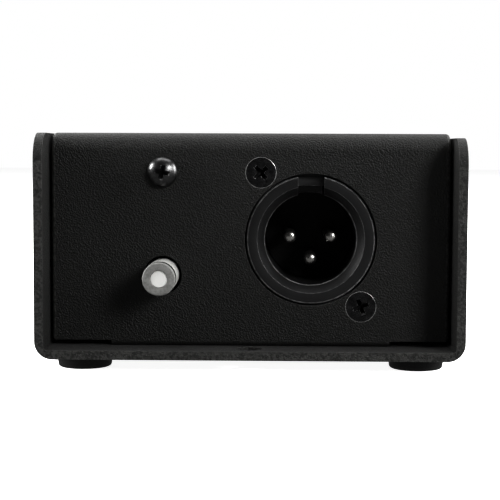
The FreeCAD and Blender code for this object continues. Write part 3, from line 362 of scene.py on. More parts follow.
MATERIALS = {
    "powder_coat": powder_coat(),
    # For the screws the fourth colour lightens the head's rim and recess edges: worn plating and
    # painted highlight.
    "black_screw": plated_screw(
        "black_screw", (0.008, 0.008, 0.0085), (0.040, 0.040, 0.041), grey(0.85), (0.2, 0.36), 0.5,
    ),
    "plated_steel": metal("plated_steel", (0.46, 0.46, 0.44), (0.58, 0.57, 0.54), (0.25, 0.42)),
    "foot_rubber": moulded("foot_rubber", grey(0.009), grey(0.014), (0.5, 0.7), 0.3, 0.03, 0.3),
    "socket_casting": cast_paint(),
    "black_plastic": moulded("black_plastic", grey(0.006), grey(0.010), (0.5, 0.62), 0.25, 0.01, 0.3),
    "contact_plating": metal("contact_plating", (0.52, 0.51, 0.49), (0.66, 0.65, 0.62), (0.24, 0.36)),
    "button_grey": button_ring(),
    "button_white": moulded("button_white", (0.95, 0.95, 0.93), (0.99, 0.99, 0.97), (0.3, 0.42)),
    "brass_contact": metal(
        "brass_contact", (0.62, 0.44, 0.17), (0.76, 0.58, 0.27), (0.22, 0.38), (1, 5, 1),
    ),
    "spring_steel": metal("spring_steel", (0.48, 0.48, 0.50), (0.60, 0.60, 0.62), (0.18, 0.3)),
    "board_resin": moulded("board_resin", (0.26, 0.13, 0.05), (0.32, 0.17, 0.07), (0.4, 0.55)),
    "board_green": board_green(),
    "nickel_screw": plated_screw("nickel_screw", grey(0.09), grey(0.16), grey(0.30), (0.26, 0.38), 1.0),
    "resistor_body": resistor_body(),
    "capacitor_body": moulded(
        "capacitor_body", (0.52, 0.22, 0.04), (0.62, 0.29, 0.06), (0.22, 0.34), 0.6, 0.03,
    ),
    "core_steel": core_steel(),
    "bobbin_plastic": moulded(
        "bobbin_plastic", (0.44, 0.41, 0.33), (0.52, 0.49, 0.41), (0.38, 0.5),
    ),
    "winding_tape": winding_tape(),
    "wire_black": insulation("wire_black", grey(0.010), grey(0.016)),
    "wire_red": insulation("wire_red", (0.38, 0.012, 0.012), (0.46, 0.022, 0.018)),
    "wire_white": insulation("wire_white", (0.68, 0.68, 0.64), (0.77, 0.77, 0.73)),
    "wire_green": insulation("wire_green", (0.015, 0.20, 0.035), (0.025, 0.27, 0.05)),
    "nickel_plating": metal(
        "nickel_plating", (0.62, 0.61, 0.57), (0.74, 0.73, 0.69), (0.14, 0.26), (1, 6, 1),
    ),
}


# ---- mesh helpers

def rounded(corners, steps=5):
    """Points of an outline given as (x, y, radius), its corners rounded where the radius isn't 0."""
    points = []
    for i, (x, y, radius) in enumerate(corners):
        here = Vector((x, y))
        if radius == 0:
            points.append(here)
            continue
        before = Vector(corners[i - 1][:2]) - here
        after = Vector(corners[(i + 1) % len(corners)][:2]) - here
        half = before.angle(after) / 2
        bisector = (before.normalized() + after.normalized()).normalized()
        middle = here + bisector * (radius / math.sin(half))
        first = here + before.normalized() * (radius / math.tan(half)) - middle
        last = here + after.normalized() * (radius / math.tan(half)) - middle
        sweep = first.angle_signed(last)
        for step in range(steps + 1):
            turn = Matrix.Rotation(-sweep * step / steps, 2)
            points.append(middle + turn @ first)
    return points


def ring(radius, height, segments, wave=None):
    """Points of a level ring round Z, or one point where the radius is 0."""
    if radius == 0:
        return [Vector((0, 0, height))]
    points = []
    for j in range(segments):
        angle = FULL_TURN * j / segments
        reach = radius - (wave(height, angle) if wave else 0)
        points.append(Vector((reach * math.cos(angle), reach * math.sin(angle), height)))
    return points


def mesh_from(work, name):
    """New mesh written from a bmesh, which is freed."""
    mesh = bpy.data.meshes.new(name)
    work.to_mesh(mesh)
    work.free()
    return mesh


def skin(name, rings, loop=False):
    """Mesh over a row of rings, closed by a single point at an end or looped back to its start."""
    work = bmesh.new()
    rows = [[work.verts.new(point) for point in one] for one in rings]
    pairs = list(zip(rows, rows[1:]))
    if loop:
        pairs.append((rows[-1], rows[0]))
    for low, high in pairs:
        count = max(len(low), len(high))
        for j in range(count):
            k = (j + 1) % count
            corners = [low[j % len(low)], low[k % len(low)], high[k % len(high)], high[j % len(high)]]
            work.faces.new(list(dict.fromkeys(corners)))
    bmesh.ops.recalc_face_normals(work, faces=work.faces)
    return mesh_from(work, name)


def turned(corners, segments):
    """Rings about Z through an outline of (radius, height, corner radius) in millimetres."""
    return [ring(point.x * MM, point.y * MM, segments) for point in rounded(corners)]


def lathe(name, corners, segments, loop=False):
    """Mesh turned about Z from an outline of (radius, height, corner radius) in millimetres."""
    return skin(name, turned(corners, segments), loop)


def prism(name, outline, low, high):
    """Mesh of an upright outline of (x, y, corner radius) between two heights, in millimetres."""
    work = bmesh.new()
    points = [(point.x * MM, point.y * MM, low * MM) for point in rounded(outline)]
    base = work.faces.new([work.verts.new(point) for point in points])
    lifted = bmesh.ops.extrude_face_region(work, geom=[base])["geom"]
    moved = [item for item in lifted if isinstance(item, bmesh.types.BMVert)]
    bmesh.ops.translate(work, verts=moved, vec=(0, 0, (high - low) * MM))
    bmesh.ops.recalc_face_normals(work, faces=work.faces)
    return mesh_from(work, name)


def block(half_x, half_y, corner=0, x=0, y=0):
    """Outline of a rectangle about a middle, its corners rounded where a radius is given."""
    return [
        (x - half_x, y - half_y, corner), (x + half_x, y - half_y, corner),
        (x + half_x, y + half_y, corner), (x - half_x, y + half_y, corner),
    ]


def tube(name, path, radius):
    """Mesh of a round wire along a path of points in metres, closed at both ends."""
    segments = 12
    rings = []
    side = None
    for i, here in enumerate(path):
        along = (path[min(i + 1, len(path) - 1)] - path[max(i - 1, 0)]).normalized()
        side = side or along.orthogonal()
        side = (side - along * side.dot(along)).normalized()
        across = along.cross(side)
        turns = [FULL_TURN * j / segments for j in range(segments)]
        rings.append([here + (side * math.cos(t) + across * math.sin(t)) * radius for t in turns])
    return skin(name, [[path[0]], *rings, [path[-1]]])


def thread_rings(outer, pitch, low, high, segments):
    """Rings of a screw thread between two heights, fading out over the last turn at each end."""
    depth = 0.6 * pitch
    rows_per_turn = 8
    count = max(2, round((high - low) / pitch * rows_per_turn))

    def groove(height, angle):
        phase = (height / pitch - angle / FULL_TURN) % 1
        fade = min(1, (height - low) / pitch, (high - height) / pitch)
        return depth * (1 - fade * abs(2 * phase - 1))

    levels = [low + (high - low) * i / count for i in range(count + 1)]
    return [ring(outer, level, segments, groove) for level in levels]


def smooth(mesh, angle):
    """Smooth shading, with creases at edges sharper than an angle."""
    for face in mesh.polygons:
        face.use_smooth = True
    mesh.set_sharp_from_angle(angle=math.radians(angle))


def new_object(name, mesh):
    """Put a mesh in the scene."""
    item = bpy.data.objects.new(name, mesh)
    bpy.context.scene.collection.objects.link(item)
    return item


def combined(mesh, tool_mesh, operation):
    """Mesh made by a boolean of a mesh with a tool mesh."""
    item = new_object("boolean_body", mesh)
    tool = new_object("boolean_tool", tool_mesh)
    change = item.modifiers.new("shape", "BOOLEAN")
    change.operation = operation
    change.solver = "EXACT"
    change.object = tool
    bpy.context.view_layer.update()
    evaluated = item.evaluated_get(bpy.context.evaluated_depsgraph_get())
    made = bpy.data.meshes.new_from_object(evaluated)
    bpy.data.objects.remove(item)
    bpy.data.objects.remove(tool)
    return made


def ease_edges(mesh, radius, segments=2, crease=30.0, picks=None):
    """Bevel the edges sharper than a crease angle by a radius in millimetres, and mark the new faces.

    A test, where one is given, picks among those edges.
    """
    work = bmesh.new()
    work.from_mesh(mesh)
    mark = work.faces.layers.float.get("edge") or work.faces.layers.float.new("edge")
    bmesh.ops.remove_doubles(work, verts=work.verts, dist=WELD)
    sharp = [
        edge for edge in work.edges
        if len(edge.link_faces) == 2
        and edge.calc_face_angle() > math.radians(crease)
        and (picks is None or picks(edge))
    ]
    made = bmesh.ops.bevel(
        work, geom=sharp, offset=radius * MM, offset_type="OFFSET", segments=segments, profile=0.5,
        affect="EDGES", clamp_overlap=True,
    )
    for face in made["faces"]:
        face[mark] = 1.0
    work.to_mesh(mesh)
    work.free()


def between(inner, outer, bottom):
    """Test for edges between two radii about Z and above a height, all in millimetres."""
    def test(edge):
        return all(
            inner * MM <= point.co.xy.length < outer * MM and point.co.z > bottom * MM
            for point in edge.verts
        )

    return test


def joined(name, meshes):
    """One mesh made of several."""
    work = bmesh.new()
    for mesh in meshes:
        work.from_mesh(mesh)
    return mesh_from(work, name)


def copies(mesh, places):
    """One mesh with a mesh repeated at each place."""
    placed = []
    for place in places:
        one = mesh.copy()
        one.transform(place)
        placed.append(one)
    return joined(mesh.name, placed)


def finish_piece(name, mesh, node, angle=35.0, slot=None):
    """Make a mesh a piece: shade it, give it its material and let it stand for a CAD node."""
    slot = slot or node_slots[node]
    item = new_object(name, mesh)
    smooth(mesh, angle)
    mesh.materials.clear()
    mesh.materials.append(MATERIALS[slot])
    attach(item, node_bodies[node])
    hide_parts(node)
    return item


def place_piece(name, mesh, places, node):
    """Make one piece of a mesh repeated at each place."""
    finish_piece(name, copies(mesh, places), node)


# ---- places

UP = Matrix.Identity(4)
DOWN = Matrix.Rotation(math.pi, 4, "X")
FRONT = Matrix.Rotation(math.pi / 2, 4, "X")
REAR = Matrix.Rotation(math.pi, 4, Vector((0, 1, 1)))
RIGHT = Matrix.Rotation(math.pi / 2, 4, "Y")


def at(x, y, z, facing=UP, spin=0):
    """Place at a point in millimetres of the frame, local Z facing a way, spun by degrees about it."""
    turn = Matrix.Rotation(math.radians(spin), 4, "Z")
    return Matrix.Translation(Vector((x, y, z)) * MM) @ facing @ turn


def limits(node, inset=0):
    """Lowest and highest corners of a CAD node in millimetres, moved in by an inset."""
    low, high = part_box(node)
    margin = Vector((inset, inset, inset))
    return low / MM + margin, high / MM - margin


def middle(node):
    """Middle of a CAD node in millimetres."""
    low, high = limits(node)
    return (low + high) / 2


# ---- pieces with eased edges

def merge_flats(mesh):
    """Merge the triangles of each flat face of a CAD mesh."""
    work = bmesh.new()
    work.from_mesh(mesh)
    bmesh.ops.remove_doubles(work, verts=work.verts, dist=WELD)
    flat = math.radians(0.5)
    bmesh.ops.dissolve_limit(work, angle_limit=flat, verts=work.verts, edges=work.edges)
    work.to_mesh(mesh)
    work.free()


def mark_planes(mesh, planes):
    """Mark the faces that lie in the given planes as edge, each plane an axis and a place in metres."""
    # Faces in these planes are lightened by the powder coat: partly thin coat, partly a painted
    # highlight.
    coverage = 0.85
    marks = mesh.attributes["edge"].data
    for face in mesh.polygons:
        if any(abs(face.center[axis] - place) < TOUCH for axis, place in planes):
            marks[face.index].value = coverage


def eased(node, radius, edge_planes=(), side_radius=0):
    """Stand in for a CAD node with its edges rounded, the ones at its sides by another radius."""
    crease = 28.0
    mesh = frame["nodes"][node].data.copy()
    merge_flats(mesh)
    if side_radius:
        sides = [corner.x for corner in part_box(node)]

        def on_side(edge):
            return any(all(abs(point.co.x - x) < TOUCH for point in edge.verts) for x in sides)

        ease_edges(mesh, side_radius, 4, crease, on_side)
    ease_edges(mesh, radius, 3, crease)
    mark_planes(mesh, edge_planes)
    item = finish_piece(node + "_finish", mesh, node)
    even = item.modifiers.new("even_normals", "WEIGHTED_NORMAL")
    even.keep_sharp = True


for node, item in frame["nodes"].items():
    item.data.materials.clear()
    item.data.materials.append(MATERIALS[node_slots[node]])

EASED_EDGES = {
    "xlr_insert": 0.12,
    "switch_plunger": 0.10,
    "switch_housing": 0.15,
    "switch_base": 0.08,
    "switch_wipers": 0.05,
    "circuit_board": 0.08,
    "transformer_bobbin": 0.12,
    "transformer_frame": 0.15,
    "input_jack_housing": 0.2,
    "thru_jack_housing": 0.2,
    "input_jack_tip_contact": 0.05,
    "input_jack_sleeve_contact": 0.05,
    "thru_jack_tip_contact": 0.05,
    "thru_jack_sleeve_contact": 0.05,
}
for node, radius in EASED_EDGES.items():
    eased(node, radius)

shell_low, shell_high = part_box("base_shell")
# Front and rear cut faces of the shell are marked so the coat is lighter there: partly thin coat,
# partly a painted highlight.
eased("base_shell", 0.48, edge_planes=((1, shell_low.y), (1, shell_high.y)))
eased("top_cover", 0.30, side_radius=0.62)


# ---- fasteners

THREAD = 1.5
THREAD_PITCH = 0.5
POINT_LENGTH = 0.4
POINT_RADIUS = THREAD - 0.7
SCREW_SEGMENTS = 48
FLAT_HEAD = 2.8
PAN_HEAD = 2.75
PAN_HEIGHT = 2.0
PAN_CURVE = 3.6
RECESS_LENGTH = 3.0
RECESS_WIDTH = 0.82
RECESS_TAPER = 0.45
RECESS_REACH = 2.2
NUT_FLATS = 5.5
NUT_HEIGHT = 2.4


def cross_tool(top, depth):
    """Tapered cross that cuts a Phillips recess from a height down, with its point at the bottom."""
    clear = top + 1
    tip = top - depth * 1.4
    levels = (
        (clear, 1), (top, 1), (top - depth, RECESS_TAPER), (top - depth * 1.25, RECESS_TAPER * 0.4),
    )
    rings = [[Vector((0, 0, clear * MM))]]
    for level, scale in levels:
        arm = RECESS_LENGTH / 2 * scale
        half = RECESS_WIDTH / 2 * (0.4 + 0.6 * scale)
        corners = []
        for quarter in range(4):
            turn = Matrix.Rotation(quarter * math.pi / 2, 2)
            for x, y in ((half, -arm), (half, -half), (arm, -half)):
                corners.append(turn @ Vector((x, y)))
        rings.append([Vector((corner.x, corner.y, level)) * MM for corner in corners])
    rings.append([Vector((0, 0, tip * MM))])
    return skin("cross_tool", rings)


def screw(name, head, length, top, depth, rim):
    """Screw with a Phillips recess: an outline for its head, then the thread down to its point."""
    seat = head[-1][1] * MM
    thread_end = (POINT_LENGTH - length) * MM
    rings = turned(head, SCREW_SEGMENTS)
    rings += thread_rings(THREAD * MM, THREAD_PITCH * MM, thread_end, seat, SCREW_SEGMENTS)[::-1]
    rings += [ring(radius * MM, -length * MM, SCREW_SEGMENTS) for radius in (POINT_RADIUS, 0)]
    mesh = combined(skin(name, rings), cross_tool(top, depth), "DIFFERENCE")
    ease_edges(mesh, 0.24, 3, 30, between(rim, math.inf, top - 0.3))
    ease_edges(mesh, 0.07, 2, 30, between(0, RECESS_REACH, top - 0.6))
    return mesh


def flat_screw(length):
    """Countersunk screw, its head's face at local Z = 0."""
    head = [(0, 0, 0), (FLAT_HEAD, 0, 0), (FLAT_HEAD, -0.15, 0), (THREAD, -1.35, 0)]
    return screw("flat_screw", head, length, 0, 1.2, FLAT_HEAD - 0.1)


def pan_screw(length):
    """Pan head screw, the seat of its head at local Z = 0."""
    dome_step = 5.2
    head = [(0, PAN_HEIGHT, 0)]
    for step in range(1, 9):
        angle = math.radians(dome_step * step)
        drop = PAN_CURVE * (1 - math.cos(angle))
        head.append((PAN_CURVE * math.sin(angle), PAN_HEIGHT - drop, 0))
    head += [
        (2.62, 0.84, 0), (2.71, 0.66, 0), (PAN_HEAD, 0.46, 0), (PAN_HEAD, 0.08, 0),
        (2.67, 0, 0), (THREAD, 0, 0),
    ]
    return screw("pan_screw", head, length, PAN_HEIGHT, 1.3, PAN_HEAD)


def hex_nut(name, flats, height, hole):
    """Hexagon nut on local Z = 0 with chamfered corners and a countersunk hole."""
    bore = hole / 2
    countersink = 0.25
    reach = flats / 2 / math.cos(math.pi / 6)
    face = flats / 2 * 0.98
    corner = reach + 0.01
    slope = (corner - face) * 0.6
    round_nut = lathe(name, [
        (bore, countersink, 0), (bore + countersink, 0, 0), (face, 0, 0), (corner, slope, 0),
        (corner, height - slope, 0), (face, height, 0), (bore + countersink, height, 0),
        (bore, height - countersink, 0),
    ], 72, loop=True)
    turns = [i * math.pi / 3 for i in range(6)]
    sides = [(reach * math.cos(turn), reach * math.sin(turn), 0) for turn in turns]
    mesh = combined(round_nut, prism("hexagon", sides, -1, height + 1), "INTERSECT")
    ease_edges(mesh, 0.06, 2, 25)
    return mesh


def make_fasteners():
    """The box's screws and nuts, each group in its CAD places."""
    low, high = limits("cover_screws", FLAT_HEAD)
    spins = (((low.x, low.y), 12), ((low.x, high.y), 71), ((high.x, low.y), 38), ((high.x, high.y), 55))
    places = [at(x, y, low.z - FLAT_HEAD, DOWN, spin) for (x, y), spin in spins]
    place_piece("cover_screw_set", flat_screw(6.0), places, "cover_screws")

    low, high = limits("xlr_screws", FLAT_HEAD)
    face = low.y - FLAT_HEAD
    places = [at(low.x, face, high.z, FRONT, 42), at(high.x, face, low.z, FRONT, 20)]
    place_piece("xlr_screw_set", flat_screw(8.0), places, "xlr_screws")

    nut = hex_nut("nut", NUT_FLATS, NUT_HEIGHT, 2 * THREAD)
    back = limits("xlr_nuts")[1].y
    places = [at(low.x, back, high.z, FRONT), at(high.x, back, low.z, FRONT)]
    place_piece("xlr_nut_set", nut, places, "xlr_nuts")

    low, high = limits("transformer_screws", PAN_HEAD)
    head_seat = low.z - PAN_HEAD + PAN_HEIGHT
    places = [at(low.x, low.y, head_seat, DOWN, 25), at(high.x, low.y, head_seat, DOWN, 64)]
    place_piece("transformer_screw_set", pan_screw(8.0), places, "transformer_screws")
    nut_seat = limits("transformer_nuts")[0].z
    places = [at(x, low.y, nut_seat) for x in (low.x, high.x)]
    place_piece("transformer_nut_set", nut, places, "transformer_nuts")

    short_screw = pan_screw(7.0)
    low, high = limits("panel_screw", PAN_HEAD)
    place = at(low.x, low.y - PAN_HEAD + PAN_HEIGHT, low.z, FRONT, -12)
    place_piece("panel_screw_detail", short_screw, [place], "panel_screw")
    place = at(low.x, limits("board_screw")[1].y - PAN_HEIGHT, low.z, REAR, 33)
    place_piece("board_screw_detail", short_screw, [place], "board_screw")
    start, end = limits("board_standoff")
    standoff = hex_nut("standoff", end.z - start.z, end.y - start.y, 2 * THREAD)
    place = at(low.x, end.y, low.z, FRONT)
    place_piece("standoff_detail", standoff, [place], "board_standoff")


def make_clinch_nuts():
    """Four round nuts clinched in the cover's flanges, each on a narrower shank."""
    barrel = 3.15
    shank = 2.1
    shank_height = 1.5
    height = 3.5
    low, high = limits("clinch_nuts", barrel)
    bottom = limits("clinch_nuts")[0].z
    nut = lathe("clinch_nut", [
        (THREAD, 0.2, 0), (THREAD + 0.2, 0, 0), (shank, 0, 0.15), (shank, shank_height, 0),
        (barrel, shank_height, 0.1), (barrel, height, 0.25), (THREAD + 0.3, height, 0.1),
        (THREAD, height - 0.3, 0),
    ], 48, loop=True)
    places = [at(x, y, bottom) for x in (low.x, high.x) for y in (low.y, high.y)]
    place_piece("clinch_nut_set", nut, places, "clinch_nuts")


def make_feet():
    """Four rubber feet, each slightly tapered, with a dished middle below."""
    low, high = limits("foot_front_left")
    rim = (high.x - low.x) / 2
    base = 0.94 * rim
    dish = 0.7
    bevel = 0.1
    foot = lathe("foot", [
        (0, dish, 0), (1.5, dish, 0.2), (1.9, 0.0, 0.15), (base, 0.0, 0.5),
        (rim, high.z - bevel, 0.1), (rim - bevel, high.z, 0), (0, high.z, 0),
    ], 72)
    for node in ("foot_front_left", "foot_front_right", "foot_rear_left", "foot_rear_right"):
        spot = middle(node)
        place_piece(node + "_rubber", foot, [at(spot.x, spot.y, 0)], node)


make_fasteners()
make_clinch_nuts()
make_feet()


# ---- output socket

def cut_cylinder(mesh, radius, x=0, y=0, segments=32):
    """Mesh with a cylinder cut out, from behind the flange to in front of the panel."""
    back = -9
    front = 1
    hole = lathe("hole", [(0, back, 0), (radius, back, 0), (radius, front, 0), (0, front, 0)], segments)
    hole.transform(at(x, y, 0))
    return combined(mesh, hole, "DIFFERENCE")


def make_socket():
    """Die-cast shell of the output socket. Local Z = 0 is the panel's outer face."""
    ring_edge = 11.65
    barrel = 11.0
    bore = 8.35
    flat = 9.75
    front = -0.5
    cone = 2.0
    depth = -21.0
    flange_front = -1.6
    flange_back = -4.1
    flange_corner = 3.0
    screw_hole = 1.6
    screw_x = 9.1
    screw_y = 12.1
    notch = 2.38
    key_depth = -12
    ahead = 1
    low, high = limits("xlr_housing")
    axis = middle("xlr_housing")
    face = limits("xlr_screws")[0].y

    shell = lathe("socket", [
        (bore, depth, 0), (barrel, depth, 0), (barrel, flange_front, 0), (ring_edge, flange_front, 0),
        (ring_edge, front, 0), (flat, front, 0), (bore, front - cone, 0),
    ], 144, loop=True)
    plate = block((high.x - low.x) / 2, (high.z - low.z) / 2, flange_corner)
    flange = prism("flange", plate, flange_back, flange_front)
    shell = combined(shell, cut_cylinder(flange, barrel - 1, segments=144), "UNION")
    for side in (-1, 1):
        shell = cut_cylinder(shell, screw_hole, side * screw_x, -side * screw_y)
    gate = prism("gate", block(notch, 2.5, 0, 0, 10.0), flange_front, ahead)
    key = prism("key", block(notch, 1.4, 0, 0, 8.4), key_depth, ahead)
    shell = combined(combined(shell, gate, "DIFFERENCE"), key, "DIFFERENCE")
    ease_edges(shell, 0.26, 4, 25, between(ring_edge - 0.05, math.inf, front - 1))
    ease_edges(shell, 0.22, 4, 25, between(0, bore + 0.05, front - cone - 0.2))
    ease_edges(shell, 0.10, 2, 36)
    place_piece("socket_shell", shell, [at(axis.x, face, axis.z, FRONT)], "xlr_housing")


def make_contacts():
    """The socket's three pins, each with a solder cup. Local Z = 0 is the panel's outer face."""
    face = limits("xlr_screws")[0].y
    low, high = limits("xlr_pin_1")
    radius = (high.x - low.x) / 2
    tip = face - low.y
    end = face - high.y
    cup = 1.1
    cup_hole = 0.65
    carrier = -21
    contact = lathe("contact", [
        (0, tip, 0), (radius, tip, 0.95), (radius, carrier + 0.1, 0.05), (cup, carrier, 0),
        (cup, end + 0.4, 0), (cup - 0.1, end, 0), (cup_hole, end, 0.05), (cup_hole, end + 3.0, 0),
        (0, end + 2.7, 0),
    ], 48)
    opening = prism("opening", block(2, 1.5, 0, 0, 1.7), end - 1, end + 2.4)
    contact = combined(contact, opening, "DIFFERENCE")
    ease_edges(contact, 0.04, 1, 35)
    for number in (1, 2, 3):
        node = f"xlr_pin_{number}"
        spot = middle(node)
        place_piece(f"{node}_contact", contact, [at(spot.x, face, spot.z, FRONT)], node)


make_socket()
make_contacts()


# ---- ground lift switch and its board

def coil(radius, pitch_turns, low, high):
    """Points of a compression spring about Z: even turns between a closed half turn at each end."""
    steps = 28
    turns = pitch_turns + 1
    points = []
    for i in range(round(turns * steps) + 1):
        turn = i / steps
        share = min(max((turn - 0.5) / pitch_turns, 0), 1)
        angle = FULL_TURN * turn
        height = low + (high - low) * share
        points.append(Vector((radius * math.cos(angle), radius * math.sin(angle), height)))
    return points


def make_button():
    """Button cap with a groove round it, marked for painted shade in the groove and for a painted
    highlight on a collar behind.
    """
    low, high = limits("ground_lift_cap")
    outer = (high.x - low.x) / 2
    hole = 1.5
    end = low.y - high.y
    groove_front = -0.7
    groove_back = -2.6
    groove_floor = outer - 0.5
    cap = lathe("cap", [
        (hole, 0, 0.12), (outer, 0, 0.32), (outer, groove_front, 0.06), (groove_floor, groove_front, 0),
        (groove_floor, groove_back, 0), (outer, groove_back, 0.06), (outer, end, 0.1), (hole, end, 0),
    ], 96, loop=True)
    collar = cap.attributes.new("edge", "FLOAT", "FACE").data
    groove_shade = cap.attributes.new("groove_shade", "FLOAT", "FACE").data
    groove_shade_front = groove_front - 0.02
    groove_shade_back = groove_back - 0.01
    for face in cap.polygons:
        height = face.center.z / MM
        outside = face.center.xy.length / MM > 2
        # Faces marked for painted shade in the groove and a painted highlight on the collar behind it.
        collar[face.index].value = outside and height < groove_shade_back
        groove_shade[face.index].value = outside and groove_shade_back < height < groove_shade_front
    spot = middle("ground_lift_cap")
    place_piece("button_cap", cap, [at(spot.x, low.y, spot.z, FRONT)], "ground_lift_cap")


def make_spring():
    """Coil spring behind the plunger, which flattens as the button is pressed."""
    wire = 0.15
    low, high = limits("switch_spring")
    spot = middle("switch_spring")
    radius = (high.x - low.x) / 2 - wire
    length = high.y - low.y
    path = coil(radius * MM, 4.0, wire * MM, (length - wire) * MM)
    mesh = tube("spring", path, wire * MM)
    mesh.transform(at(spot.x, high.y, spot.z, FRONT))
    item = finish_piece("plunger_spring", mesh, "switch_spring")
    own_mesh(item)


make_button()
make_spring()


# ---- jack sockets

def make_jacks():
    """Threaded bushing, nut and washer of each jack. Local Z = 0 is the panel's outer face."""
    plug_hole = 3.25
    mouth = 3.75
    pitch = 0.79
    nut_spins = {"input_jack": 0, "thru_jack": 17}
    panel = limits("input_jack_washer")[0].y
    for jack, nut_spin in nut_spins.items():
        low, high = limits(jack + "_bushing")
        spot = middle(jack + "_bushing")
        outer = (high.x - low.x) / 2
        base = low.y - panel
        top = high.y - panel
        rings = turned([
            (plug_hole, base, 0), (plug_hole, top - 0.5, 0), (mouth, top, 0.1),
            (outer - 0.55, top, 0.1),
        ], 72)
        rings += thread_rings(outer * MM, pitch * MM, base * MM, top * MM, 72)[::-1]
        bushing = skin("bushing", rings, loop=True)
        place = at(spot.x, panel, spot.z, REAR)
        place_piece(jack + "_threaded_bushing", bushing, [place], jack + "_bushing")

        low, high = limits(jack + "_washer")
        rim = (high.x - low.x) / 2
        thick = high.y - low.y
        bore = outer + 0.05
        washer = lathe("washer", [
            (bore, 0, 0), (rim, 0, 0.12), (rim, thick, 0.25), (bore, thick, 0.1),
        ], 96, loop=True)
        place_piece(jack + "_flat_washer", washer, [place], jack + "_washer")

        low, high = limits(jack + "_nut")
        nut = hex_nut("jack_nut", high.z - low.z, high.y - low.y, 2 * outer + 0.1)
        place = at(spot.x, low.y, spot.z, REAR, nut_spin)
        place_piece(jack + "_hex_nut", nut, [place], jack + "_nut")


make_jacks()


# ---- transformer

def make_core():
    """Stack of E and I laminations, turned over from one to the next, so their joints alternate."""
    low, high = limits("transformer_core")
    limb = limits("transformer_bobbin")[0].z - low.z
    half = (high.x - low.x) / 2
    layers = 24
    pitch = (high.y - low.y) / layers
    gap = 0.05
    height = high.z - low.z
    bar = limb - gap / 2
    leg = height - limb - gap / 2
    e_outline = [
        (-half, 0, 0), (half, 0, 0), (half, leg, 0), (half - limb, leg, 0), (half - limb, limb, 0),
        (limb, limb, 0), (limb, leg, 0), (-limb, leg, 0), (-limb, limb, 0), (limb - half, limb, 0),
        (limb - half, leg, 0), (-half, leg, 0),
    ]
    i_outline = block(half, bar / 2, 0, 0, height - bar / 2)
    sheets = [prism("sheet", outline, 0, pitch - gap) for outline in (e_outline, i_outline)]
    centre = middle("transformer_core")
    layer_meshes = []
    for layer in range(layers):
        back = low.y + (layer + 1) * pitch - gap / 2
        if layer % 2:
            place = at(centre.x, back, low.z, FRONT)
        else:
            place = at(centre.x, back - pitch + gap, high.z, FRONT) @ DOWN
        layer_meshes += [copies(sheet, [place]) for sheet in sheets]
    mesh = joined("laminations", layer_meshes)
    ease_edges(mesh, 0.05, 1)
    finish_piece("core_laminations", mesh, "transformer_core")


def make_winding():
    """Crowned winding under its tape, with the turns of wire as fine ridges."""
    low, high = limits("transformer_winding")
    half_x = (high.x - low.x) / 2
    half_y = (high.y - low.y) / 2
    height = high.z - low.z
    centre = middle("transformer_winding")
    turns = 36
    levels_per_turn = 4
    levels = turns * levels_per_turn
    thickness = 3.2
    crown_height = 0.35
    ridge_height = 0.03

    def oblong(dip, level):
        outline = rounded(block(half_x - dip, half_y - dip, 3.0), 8)
        return [Vector((point.x, point.y, level)) * MM for point in outline]

    rings = [oblong(thickness, 0)]
    for i in range(levels + 1):
        share = i / levels
        crown = crown_height * (2 * share - 1) ** 2
        ridge = ridge_height * (i % levels_per_turn in (1, 2))
        rings.append(oblong(crown + ridge, height * share))
    rings.append(oblong(thickness, height))
    mesh = skin("winding", rings, loop=True)
    mesh.transform(at(centre.x, centre.y, low.z))
    finish_piece("coil_winding", mesh, "transformer_winding", 60)


def make_terminal_pins():
    """Four tinned pins on the coil former, each rounded at its top and beaded with solder."""
    radius = 0.4
    low, high = limits("transformer_pins", radius)
    base = low.z - radius
    top = high.z + radius - base
    pin = lathe("terminal_pin", [
        (0, 0, 0), (radius, 0, 0), (radius, 1.1, 0), (0.75, 1.15, 0.1), (0.45, 1.9, 0.2),
        (radius, top, 0.25), (0, top, 0),
    ], 24)
    places = [at(x, y, base) for x in (low.x, high.x) for y in (low.y, high.y)]
    place_piece("terminal_pin_set", pin, places, "transformer_pins")


make_core()
make_winding()
make_terminal_pins()


# ---- parts on the circuit board

LEAD = 0.3
SOLDER = [
    (0, 0.9, 0), (LEAD, 0.9, 0.1), (0.4, 0.5, 0.3), (0.95, 0.02, 0.1), (0.95, -0.05, 0), (0, -0.05, 0),
]


def solder_cones(places):
    """Mesh of a cone of solder at each place."""
    return copies(lathe("solder", SOLDER, 28), places)


def make_terminals():
    """Six switch terminals through the board, each in a cone of solder behind it."""
    low, high = limits("switch_terminals", LEAD)
    board_back = limits("circuit_board")[1].y
    start = low.y - LEAD
    length = high.y + LEAD - start
    pin = lathe("terminal", [(0, 0, 0), (LEAD, 0, 0.1), (LEAD, length, 0.12), (0, length, 0)], 20)
    spots = [(x, z) for x in (low.x, (low.x + high.x) / 2, high.x) for z in (low.z, high.z)]
    pins = copies(pin, [at(x, start, z, REAR) for x, z in spots])
    cones = solder_cones([at(x, board_back, z, REAR) for x, z in spots])
    finish_piece("soldered_terminals", joined("terminals", [pins, cones]), "switch_terminals")


